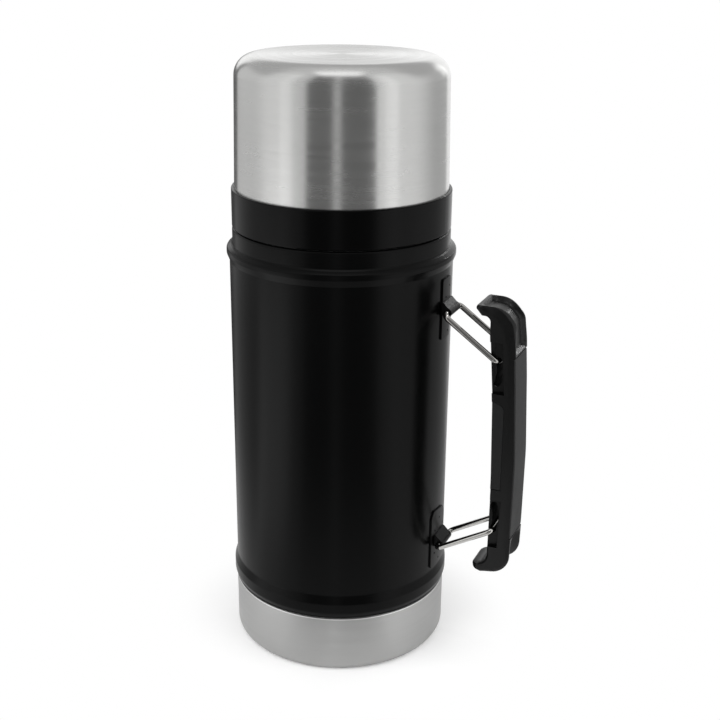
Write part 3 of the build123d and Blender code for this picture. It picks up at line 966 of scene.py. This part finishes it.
@dataclass
class SubAssembly:
    """A group of the jar's pieces that are built and dressed together."""

    frame: dict
    effects: Effects
    finishes: dict[str, Material]
    made: list[Piece] = field(default_factory=list)

    def coat(self, piece: Piece, finish: Finishes) -> None:
        """Give a piece its finish, whose material is built on first use.

        Args:
            piece: the piece.
            finish: the finish that it gets.
        """
        if finish.name not in self.finishes:
            self.finishes[finish.name] = finish.value.material(self.effects)
        piece.data.materials.clear()
        piece.data.materials.append(self.finishes[finish.name])
        self.made.append(piece)

    def dress_nodes(self, finish: Finishes, *nodes: str) -> None:
        """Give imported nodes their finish."""
        for node in nodes:
            self.coat(self.frame["nodes"][node], finish)

    def stand_for(self, piece: Piece, node: str, body: str, slot: str, finish: Finishes) -> None:
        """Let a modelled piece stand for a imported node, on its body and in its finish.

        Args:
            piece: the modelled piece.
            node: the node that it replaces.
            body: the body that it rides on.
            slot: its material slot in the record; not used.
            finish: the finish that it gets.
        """
        self.coat(piece, finish)
        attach(piece, body)
        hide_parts(node)

    def build(self) -> None:
        """Build the sub-assembly's pieces."""


@dataclass
class Vessel(SubAssembly):
    """Painted shell, base cup, neck, food vessel and what is sealed between the walls."""

    foot: float = 28.7
    shoulder: float = 203.2
    shell_radius: float = 51.0
    foot_radius: float = 51.6
    bead_radius: float = 52.28
    collar_radius: float = 49.6
    neck_radius: float = 43.0
    wall: float = 0.8
    base_radius: float = 51.3
    base_rim: float = 50.7
    recess: float = 1.2

    def build(self) -> None:
        """Model the shell and the base cup and dress the other pieces."""
        shell = turn_piece("painted_shell", self.shell_outline())
        self.stand_for(shell, "outer_shell", "vessel", "black_paint", Finishes.SHELL_PAINT)
        cup = turn_piece("brushed_base", self.base_outline())
        self.stand_for(cup, "base_cup", "vessel", "brushed_steel", Finishes.BASE_STEEL)
        self.dress_nodes(
            Finishes.INNER_STEEL, "neck_ring", "inner_vessel", "jacket_base", "vacuum_plug", "getter",
        )
        self.dress_nodes(Finishes.FOIL, "radiation_foil")

    def shell_side(self, inset: float) -> list[Corner]:
        """The shell's side from its foot to its shoulder, drawn in by inset.

        Args:
            inset: how far the side is drawn in.

        Returns:
            Its corners, upwards.
        """
        foot, bead, top = self.foot, self.shoulder - 11.9, self.shoulder - inset
        side = (
            (self.foot_radius, foot, 0.0),
            (self.foot_radius, foot + 0.7, 0.5),
            (self.bead_radius, foot + 2.6, 2.0),
            (self.bead_radius, foot + 7.2, 2.6),
            (self.shell_radius, foot + 11.2, 4.0),
            (self.shell_radius, bead - 3.0, 0.6),
            (self.bead_radius, bead + 0.2, 1.6),
            (self.bead_radius, bead + 2.5, 1.4),
            (self.collar_radius + 0.7, bead + 3.8, 0.8),
            (self.collar_radius, bead + 4.5, 0.7),
            (self.collar_radius, top, 1.3),
        )
        corners = [Corner(radius - inset, height, bend) for radius, height, bend in side]
        return corners + [Corner(self.neck_radius, top)]

    def shell_outline(self) -> list[Place]:
        """Closed outline of the shell: up the outside, over the shoulder and down the inside."""
        outside = rounded(self.shell_side(0.0), 8)
        inside = rounded(self.shell_side(self.wall), 4)[::-1]
        return outside + inside + outside[:1]

    def base_outline(self) -> list[Place]:
        """Outline of the base cup, from the middle of its underside round to the middle of its floor."""
        foot, recess, floor = self.foot, self.recess, self.recess + self.wall
        return rounded([
            Corner(POLE, 0.0),
            Corner(12.0, 0.0, 0.5),
            Corner(12.8, recess, 0.5),
            Corner(33.2, recess, 0.5),
            Corner(34.0, 0.0, 0.5),
            Corner(self.base_radius, 0.0, 3.6),
            Corner(self.base_radius, foot - 0.8, 0.1),
            Corner(self.base_rim, foot - 0.65, 0.1),
            Corner(self.base_rim, foot + 4.0),
            Corner(self.base_rim - self.wall, foot + 4.0),
            Corner(self.base_rim - self.wall, foot - 0.7),
            Corner(self.base_radius - self.wall, foot - 1.4),
            Corner(self.base_radius - self.wall, floor, 2.8),
            Corner(POLE, floor),
        ])


@dataclass
class BowlLid(SubAssembly):
    """Steel bowl with its liner, threaded ring and seal."""

    ring_top: float = 220.8
    top: float = 278.6
    foot_radius: float = 48.2
    head_radius: float = 47.2
    wall: float = 0.7
    corner: float = 9.0
    socket: float = 3.0

    def build(self) -> None:
        """Model the lid's shell and dress its other pieces."""
        shell = turn_piece("brushed_lid", self.shell_outline())
        self.stand_for(shell, "lid_shell", "lid", "brushed_steel", Finishes.LID_STEEL)
        self.dress_nodes(Finishes.INNER_STEEL, "lid_liner")
        self.dress_nodes(Finishes.RING_PLASTIC, "lid_ring")
        self.dress_nodes(Finishes.SILICONE, "lid_seal")

    def side(self, height: float, inset: float) -> float:
        """Radius of the lid's tapering side at a height, drawn in by inset."""
        taper = (self.foot_radius - self.head_radius) / (self.top - self.corner - self.ring_top)
        return self.foot_radius - taper * (height - self.ring_top) - inset

    def shell_outline(self) -> list[Place]:
        """Outline of the lid's shell, from the middle of its top, down the outside and up the inside."""
        foot, roof, wall = self.ring_top - self.socket, self.top, self.wall
        return rounded([
            Corner(POLE, roof),
            Corner(self.side(roof, 0.0), roof, self.corner),
            Corner(self.side(foot, 0.0), foot),
            Corner(self.side(foot, wall), foot),
            Corner(self.side(roof - wall, wall), roof - wall, self.corner - wall),
            Corner(POLE, roof - wall),
        ], 16)


@dataclass
class Stopper(SubAssembly):
    """Threaded plug with its foam, cap and gasket."""

    def build(self) -> None:
        """Dress the stopper's pieces."""
        self.dress_nodes(Finishes.RING_PLASTIC, "stopper_body", "stopper_cap")
        self.dress_nodes(Finishes.FOAM, "stopper_foam")
        self.dress_nodes(Finishes.SILICONE, "stopper_gasket")


@dataclass(frozen=True)
class Bail:
    """A bent wire: height of its pivot, length, angle above the level at rest and how far it swings."""

    pivot_height: float
    length: float
    angle: float
    swing: float
    wire: float = 1.3
    half_width: float = 9.7
    bend: float = 2.6
    end_gap: float = 0.4
    slot_reach: float = 1.58

    def build(self, name: str) -> Piece:
        """Model the wire: a circle extruded along each run and spun round each bend.

        Args:
            name: the piece's name.

        Returns:
            The wire, closed at both ends.
        """
        half, bend, gap, length = metres(self.half_width, self.bend, self.end_gap / 2, self.length)
        bench = Bench(
            name, bpy.ops.mesh.primitive_circle_add, vertices=28, radius=self.wire * MM, fill_type="NGON",
            location=(0, -gap, 0), rotation=(math.pi / 2, 0, 0),
        )
        side, run, end = half - bend, length - 2 * bend, -(half - bend - gap)
        for step, centre in (
            ((0.0, end), (bend, -side)),
            ((run, 0.0), (length - bend, -side)),
            ((0.0, 2 * side), (length - bend, side)),
            ((-run, 0.0), (bend, side)),
        ):
            bench.extrude((*step, 0.0))
            bpy.ops.mesh.spin(steps=8, angle=-math.pi / 2, center=(*centre, 0.0), axis=(0.0, 0.0, 1.0))
        bench.extrude((0.0, end, 0.0))
        bench.settle()
        bench.piece.location = metres(PIVOT_RADIUS, 0.0, self.pivot_height)
        bench.piece.rotation_euler = (0.0, -math.radians(self.angle), 0.0)
        bench.enter()
        return bench.finish()

    def track(self) -> list[Place]:
        """Outline of the slot that the wire's bar slides in, as the grip folds in with it.

        Returns:
            The outline, in the grip's own place at rest.
        """
        steps, reach, path, ends = 10, self.slot_reach, [], []
        for step in range(steps + 1):
            turned = math.radians(self.angle + self.swing * step / steps)
            out = PIVOT_RADIUS + self.length * math.cos(turned) + GRIP_SLIDE * step / steps
            path.append(Vector((out, self.pivot_height + self.length * math.sin(turned))))
        for middle, before in ((path[0], path[1]), (path[-1], path[-2])):
            ahead = (middle - before).normalized()
            side = Vector((-ahead.y, ahead.x))
            turns = [math.pi * part / steps for part in range(steps, -1, -1)]
            ends.append([middle + reach * (side * math.cos(at) + ahead * math.sin(at)) for at in turns])
        left, right = ([place + way * side for place in path[1:-1]] for way in (-reach, reach))
        return [tuple(place) for place in ends[0] + left + ends[1] + right[::-1]]


@dataclass(frozen=True)
class Bracket:
    """A pressed plate welded to the shell and curled round the ends of a bail."""

    pivot_height: float
    corners: tuple[Corner, ...]
    dimples: tuple[Place, ...]
    shell_radius: float = 51.0
    sheet: float = 0.75
    margin: float = 2.0
    curl: float = 2.05
    bore: float = 1.38
    near: float = -5.6
    far: float = 6.3
    dimple_radius: float = 0.55

    def build(self, name: str) -> Piece:
        """Model the plate, its curl, the bore through the curl and the weld dimples.

        Args:
            name: the piece's name.

        Returns:
            The bracket.
        """
        back, face = self.shell_radius, self.shell_radius + self.sheet
        low = min(corner.up for corner in self.corners) - self.margin
        high = max(corner.up for corner in self.corners) + self.margin
        plate = turn_piece(name, ((back, low), (face, low), (face, high), (back, high), (back, low)))
        blank = slab("bracket_blank", rounded(self.corners, closed=True), -60.0, -40.0)
        for vertex in blank.data.vertices:
            vertex.co = (-vertex.co.y, vertex.co.x, vertex.co.z)
        cut_away(plate, blank, "INTERSECT")
        cut_away(plate, slab("bracket_curl", self.curl_outline(), self.near, self.far), "UNION")
        bevel(plate, 0.18, 2)
        pivot = (PIVOT_RADIUS, 0.0, self.pivot_height)
        cut_away(plate, self._drill(pivot, self.bore, 24.0, (math.pi / 2, 0.0, 0.0)))
        for across, up in self.dimples:
            place = (math.sqrt(face * face - across * across), across, up)
            turn = (0.0, math.pi / 2, math.asin(across / face))
            cut_away(plate, self._drill(place, self.dimple_radius, 1.4, turn))
        even_out(plate)
        return plate

    def curl_outline(self) -> list[Place]:
        """The curl's side: out from the plate, down a short ramp and round the wire."""
        up, turns = self.pivot_height, [math.radians(angle) for angle in range(60, -60, -10)]
        bow = [(PIVOT_RADIUS + self.curl * math.cos(at), up + self.curl * math.sin(at)) for at in turns]
        ramp = [(51.3, up + 4.5), (52.0, up + 4.4), (52.4, up + 4.1), (54.0, up + 2.45)]
        return ramp + bow + [(51.3, bow[-1][1])]

    @staticmethod
    def _drill(place: Point, radius: float, depth: float, turn: Point) -> Piece:
        """Round cutter at a place, turned the way that it drills.

        Args:
            place: its middle.
            radius: its radius.
            depth: its length.
            turn: turns about the three axes, in radians.

        Returns:
            The cutter.
        """
        return Bench(
            "drill", bpy.ops.mesh.primitive_cylinder_add, vertices=32, radius=radius * MM, depth=depth * MM,
            location=metres(*place), rotation=turn,
        ).finish()


@dataclass(frozen=True)
class Hollow:
    """A dished place in the grip: where it lies along the outline, its half width, depth and soft edge."""

    start: float
    end: float
    half_width: float
    corner: float
    depth: float
    edge: float
    waist: float = 0.0

    def middle(self, along: float) -> float:
        """1 at the middle of its length, easing to 0 at its ends."""
        part = min(max((along - self.start) / (self.end - self.start), 0.0), 1.0)
        return math.sin(math.pi * part) ** 2

    def amount(self, along: float, across: float) -> float:
        """Depth of the dish at a place along and across the grip.

        Args:
            along: length along the outline.
            across: distance from the grip's middle.

        Returns:
            The depth.
        """
        corner = self.corner
        first = abs(along - (self.start + self.end) / 2) - ((self.end - self.start) / 2 - corner)
        second = abs(across) - (self.half_width - corner - self.waist * self.middle(along))
        outside = math.hypot(max(first, 0.0), max(second, 0.0)) + min(max(first, second), 0.0)
        inward = min(max((corner - outside) / self.edge, 0.0), 1.0)
        return self.depth * math.sin(math.pi / 2 * inward) ** 1.4


class Course:
    """A closed side outline, divided into short steps, with its length and outward direction at each."""

    def __init__(self, corners: Sequence[Corner], step: float) -> None:
        """Divide the outline.

        Args:
            corners: its corners, clockwise seen from the near side.
            step: longest step.
        """
        ends = [Vector(place) for place in rounded(corners, 10, closed=True)]
        self.places: list[Vector] = []
        for first, last in zip(ends, ends[1:] + ends[:1]):
            parts = max(1, math.ceil((last - first).length / step))
            self.places += [first.lerp(last, part / parts) for part in range(parts)]
        self.along = [0.0]
        for last, place in zip(self.places, self.places[1:]):
            self.along.append(self.along[-1] + (place - last).length)
        self.outward: list[Vector] = []
        self.tree = KDTree(len(self.places))
        for index, place in enumerate(self.places):
            run = self.places[(index + 1) % len(self.places)] - self.places[index - 1]
            self.outward.append(Vector((-run.y, run.x)).normalized())
            self.tree.insert((place.x, 0.0, place.y), index)
        self.tree.balance()

    def nearest(self, place: Vector) -> int:
        """Which of the outline's places is nearest a point."""
        return self.tree.find((place.x, 0.0, place.z))[1]

    def at(self, out: float, up: float) -> float:
        """Length along the outline to its place nearest a point."""
        return self.along[self.nearest(Vector((out, 0.0, up)))]


@dataclass
class Grip:
    """The moulded grip: a side outline raised in layers across its width, chamfered and dished."""

    upper_bar: Place = (79.175, 151.71)
    lower_bar: Place = (80.485, 69.024)
    half_width: float = 9.4
    pad_half: float = 8.95
    pad_top: float = 154.9
    pad_foot: float = 66.2
    pad_depth: float = 2.0
    gap: float = 0.2
    pad_bed: float = 0.35
    pad_crown: float = 0.16
    pad_proud: float = 0.02
    cover_inset: float = 0.25
    cover_sink: float = 0.15
    wall_half: float = 8.2
    web_half: float = 7.9

    def __post_init__(self) -> None:
        """Lay out the outline and the two dished places."""
        upper, lower = self.upper_bar, self.lower_bar
        self.course = course = Course([
            Corner(67.95, 174.9, 0.9),
            Corner(68.5, 176.5, 0.9),
            Corner(upper[0] + 0.8, upper[1] + 24.8, 11.0),
            Corner(upper[0] + 7.1, upper[1] + 18.1, 6.0),
            Corner(upper[0] + 9.0, upper[1] - 10.7, 120.0),
            Corner(lower[0] + 9.35, lower[1] + 36.0, 160.0),
            Corner(lower[0] + 9.1, lower[1] + 3.0, 120.0),
            Corner(lower[0] + 8.7, lower[1] - 20.4, 9.5),
            Corner(74.6, 46.65, 2.0),
            Corner(71.3, 47.5, 0.9),
            Corner(70.9, 50.1, 0.9),
            Corner(78.3, 50.6, 6.0),
            Corner(lower[0] - 1.8, lower[1] + 26.0, 200.0),
            Corner(upper[0] - 1.6, upper[1] - 19.7, 120.0),
            Corner(upper[0] - 4.0, upper[1] + 12.3, 60.0),
            Corner(upper[0] - 4.0, 171.9, 2.6),
            Corner(70.8, 172.1, 1.0),
        ], 0.7)
        self.channel = Hollow(course.at(70.4, 176.5), course.at(87.2, 155.6), 8.5, 2.8, 2.0, 2.0, 1.9)
        self.foot = Hollow(course.at(89.5, 66.2), course.at(77.0, 46.8), 8.0, 4.5, 3.4, 3.4)
        self.pad_start = course.at(87.2, self.pad_top)
        self.pad_end = course.at(89.5, self.pad_foot)

    def layers(self) -> list[float]:
        """Where the layers lie across the grip, from the near side to the far side."""
        side = [self.half_width - 0.15 * step for step in range(12)] + [self.pad_half + 0.08, self.pad_half]
        inner = [7.6 * (1 - step / 13) for step in range(13)]
        near = sorted(set(-value for value in side + inner))
        return near + [0.0] + [-value for value in reversed(near)]

    def inset(self, index: int, across: float) -> float:
        """How far the surface lies inside the outline at one of its places.

        Args:
            index: which of the outline's places.
            across: distance from the grip's middle.

        Returns:
            The distance inwards.
        """
        place, along = self.course.places[index], self.course.along[index]
        outer = place.x > 82.0 or place.y > 173.4 or place.y < 47.6
        top, foot = ease(place.y, 158.0, 170.0), ease(place.y, 66.0, 54.0)
        fuller = foot * ease(place.x, 71.5, 77.0)
        lean, bend = 0.0, 0.3 + 0.9 * fuller
        if outer:
            lean = (3.2 + 0.4 * top) * (1 - 0.8 * foot) * ease(place.x, 68.5, 75.0)
            bend = 0.45 + 0.6 * fuller + 2.5 * self.channel.middle(along)
        reach = 0.5 + 0.2 * top
        slope = min(max(0.0, (abs(across) - (self.half_width - reach)) / reach), 1.0)
        turn = min(max(0.0, (abs(across) - (self.half_width - bend)) / bend), 0.99)
        edge = lean * slope + bend * (1 - math.sqrt(1 - turn * turn))
        return edge + self.channel.amount(along, across) + self.foot.amount(along, across)

    def plan_round(self, out: float, up: float, across: float) -> float:
        """How far the nose and the toe are drawn back towards their two corners.

        Args:
            out: distance out.
            up: height.
            across: distance from the grip's middle.

        Returns:
            The distance outwards from the jar.
        """
        start, bend = (67.9, 2.0) if up > 110 else (70.9, 4.4)
        into = abs(across) - (self.half_width - bend)
        if into <= 0 or out > start + 2 * bend:
            return 0.0
        drawn = bend - math.sqrt(max(bend * bend - into * into, 0.0))
        return drawn * 0.9 * (1 - (out - start) / (2 * bend))

    def surface(self, index: int, across: float, sunk: float = 0.0) -> Point:
        """Place of the grip's surface in metres, at an outline place and a distance across.

        Args:
            index: which of the outline's places.
            across: distance from the grip's middle.
            sunk: how much deeper than the surface.

        Returns:
            The place.
        """
        flat = self.course.places[index] - self.course.outward[index] * (self.inset(index, across) + sunk)
        return metres(flat.x + self.plan_round(flat.x, flat.y, across), across, flat.y)

    def frame(self, slots: Sequence[list[Place]]) -> Piece:
        """Model the frame: layers raised across, shaped, then cut for pad, cover, pockets and slots.

        Args:
            slots: outlines of the slots that the wires' bars slide in.

        Returns:
            The frame.
        """
        places, layers = self.course.places, self.layers()

        def shaped(vertex: Vertex) -> Point:
            """A vertex's place on the shaped grip, sunk where the pad goes."""
            here = vertex.co / MM
            index = self.course.nearest(here)
            along = self.pad_start < self.course.along[index] < self.pad_end
            padded = along and abs(here.y) < self.pad_half + 0.04
            return self.surface(index, here.y, self.pad_depth if padded else 0.0)

        bench = Bench("moulded_grip", bpy.ops.mesh.primitive_circle_add, vertices=len(places), radius=0.05)
        bench.reshape(lambda vertex: metres(places[vertex.index].x, layers[0], places[vertex.index].y))
        for low, high in zip(layers, layers[1:]):
            bench.extrude((0.0, (high - low) * MM, 0.0))
        for end in (layers[0], layers[-1]):
            bench.select(lambda place: abs(place.y / MM - end) < 0.01)
            bpy.ops.mesh.edge_face_add()
        bench.reshape(shaped)
        piece = bench.finish(24.0)
        for cutter in self.cutters(slots):
            cut_away(piece, cutter)
        even_out(piece)
        return piece

    def cutters(self, slots: Sequence[list[Place]]) -> Iterator[Piece]:
        """Blocks that are cut out of the frame, one at a time.

        Args:
            slots: outlines of the slots that the wires' bars slide in.

        Yields:
            Each block.
        """
        far = self.half_width + 1.0
        upper, lower = self.upper_bar, self.lower_bar
        for name, low, high, wall, right_low, right_high in (
            ("upper", 136.6, 160.6, upper[0] - 1.6, upper[0] + 3.8, upper[0] + 2.3),
            ("lower", 60.7, 84.9, lower[0] - 1.45, lower[0] + 2.9, lower[0] + 3.8),
        ):
            pocket = [(wall, high), (right_high, high), (right_low, low), (wall, low)]
            side = [(70.0, high), (wall + 0.1, high), (wall + 0.1, low), (70.0, low)]
            yield slab(f"{name}_pocket_near", pocket, -far, -self.web_half, 0.25)
            yield slab(f"{name}_pocket_far", pocket, self.web_half, far, 0.25)
            yield slab(f"{name}_side_near", side, -far, -self.wall_half)
            yield slab(f"{name}_side_far", side, self.wall_half, far)
        for slot in slots:
            yield slab("bar_slot", slot, -far, far)
        yield slab("cover_seat", self.cover_corners(0.0), -far, far)

    def cover_corners(self, gap: float) -> list[Place]:
        """Outline of the inner cover, drawn in by gap.

        Args:
            gap: clearance to its seat.

        Returns:
            The outline.
        """
        return [
            (70.0, 90.0 + gap), (83.7 - gap, 90.0 + gap), (83.45 - gap, 129.9 - gap),
            (82.4 - gap, 131.3 - gap), (79.2, 132.6 - gap), (70.0, 133.6 - gap),
        ]

    def cover(self) -> Piece:
        """Model the inner cover, flush with the frame's inner side.

        Returns:
            The cover.
        """
        half = self.half_width - self.cover_inset
        cover = slab("inner_cover", self.cover_corners(self.gap), -half, half)
        inner = [(place.x + self.cover_sink, place.y) for place in self.course.places
                 if place.x < 80.0 and 84.0 < place.y < 140.0]
        inner.sort(key=lambda place: place[1])
        keep = slab("cover_face", inner + [(90.0, 140.0), (90.0, 84.0)], -10.0, 10.0)
        cut_away(cover, keep, "INTERSECT")
        bevel(cover, 0.35, 3)
        even_out(cover)
        return cover

    def pad(self) -> Piece:
        """Model the soft pad: a sheet laid along the back, thickened inwards and softly edged.

        Returns:
            The pad.
        """
        course, first, last = self.course, self.pad_start + self.gap, self.pad_end - self.gap
        rows = [index for index, along in enumerate(course.along) if first < along < last]
        columns = [self.pad_half * (step / 12 - 1) * 0.99 for step in range(25)]

        def laid(vertex: Vertex) -> Point:
            """A vertex's place on the grip's back, a little crowned."""
            row = rows[round((vertex.co.x + 1) / 2 * (len(rows) - 1))]
            across = columns[round((vertex.co.y + 1) / 2 * (len(columns) - 1))]
            sunk = self.pad_crown * abs(across / self.pad_half) ** 2.5 - self.pad_proud
            return self.surface(row, across, sunk)

        def thickened(vertex: Vertex) -> Vector:
            """A vertex's place, moved down to the pad's bed where it is selected."""
            if not vertex.select:
                return vertex.co.copy()
            outward = course.outward[course.nearest(vertex.co / MM)]
            return vertex.co - Vector((outward.x, 0.0, outward.y)) * (self.pad_depth - self.pad_bed) * MM

        bench = Bench(
            "soft_pad", bpy.ops.mesh.primitive_grid_add, x_subdivisions=len(rows) - 1,
            y_subdivisions=len(columns) - 1, size=2.0,
        )
        bench.reshape(laid)
        bench.extrude((0.0, 0.0, 0.0))
        bench.reshape(thickened)
        piece = bench.finish(40.0)
        bevel(piece, 0.3, 3)
        even_out(piece)
        return piece


@dataclass
class Handle(SubAssembly):
    """Brackets, wire bails and the moulded grip with its pad and cover."""

    upper: Bail = Bail(169.8, 31.0, -35.7, -32.4)
    lower: Bail = Bail(54.1, 30.4, 29.4, 35.6)
    upper_plate: Bracket = Bracket(
        169.8,
        (
            Corner(-4.9, 156.2, 1.2), Corner(4.9, 156.2, 1.2), Corner(4.9, 184.4, 1.2),
            Corner(-4.9, 184.4, 1.2),
        ),
        ((2.9, 180.2), (-1.3, 175.7), (2.2, 159.1)),
    )
    lower_plate: Bracket = Bracket(
        54.1,
        (
            Corner(-8.3, 41.4, 1.5), Corner(8.3, 41.4, 1.5), Corner(8.3, 65.9, 2.0), Corner(4.6, 69.9, 1.5),
            Corner(-6.4, 71.2, 2.0), Corner(-8.3, 68.0, 1.5),
        ),
        ((0.0, 65.6), (5.0, 60.6), (-4.9, 60.6), (-4.9, 48.6), (4.9, 48.6), (0.0, 44.0)),
    )
    grip: Grip = field(default_factory=Grip)

    def build(self) -> None:
        """Model the brackets, the bails and the grip."""
        for bracket, node in ((self.upper_plate, "upper_bracket"), (self.lower_plate, "lower_bracket")):
            plate = bracket.build(f"{node}_plate")
            self.stand_for(plate, node, "vessel", "black_paint", Finishes.BRACKET_PAINT)
        # The upper bail gets the darker copy of the wire colour: painted shade.
        for bail, name, finish in (
            (self.upper, "upper", Finishes.SHADED_UPPER_WIRE), (self.lower, "lower", Finishes.WIRE),
        ):
            wire = bail.build(f"{name}_wire")
            self.stand_for(wire, f"{name}_bail", f"{name}_bail_wire", "wire_steel", finish)
        frame = self.grip.frame([self.upper.track(), self.lower.track()])
        self.stand_for(frame, "grip_frame", "grip", "grip_plastic", Finishes.GRIP_PLASTIC)
        self.stand_for(self.grip.cover(), "grip_cover", "grip", "grip_plastic", Finishes.COVER_PLASTIC)
        self.stand_for(self.grip.pad(), "grip_pad", "grip", "grip_rubber", Finishes.GRIP_RUBBER)


def main() -> None:
    """Load the frame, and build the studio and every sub-assembly."""
    logging.basicConfig(level=logging.INFO, format="%(name)s: %(message)s")
    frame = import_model()
    bpy.ops.object.select_all(action="DESELECT")
    effects = Effects()
    Studio(effects).build()
    finishes: dict[str, Material] = {}
    for part in (Vessel, BowlLid, Stopper, Handle):
        assembly = part(frame, effects, finishes)
        assembly.build()
        for piece in assembly.made:
            LOG.info("%s: %s with %d faces", part.__name__, piece.name, len(piece.data.polygons))


if __name__ == "__main__":
    main()
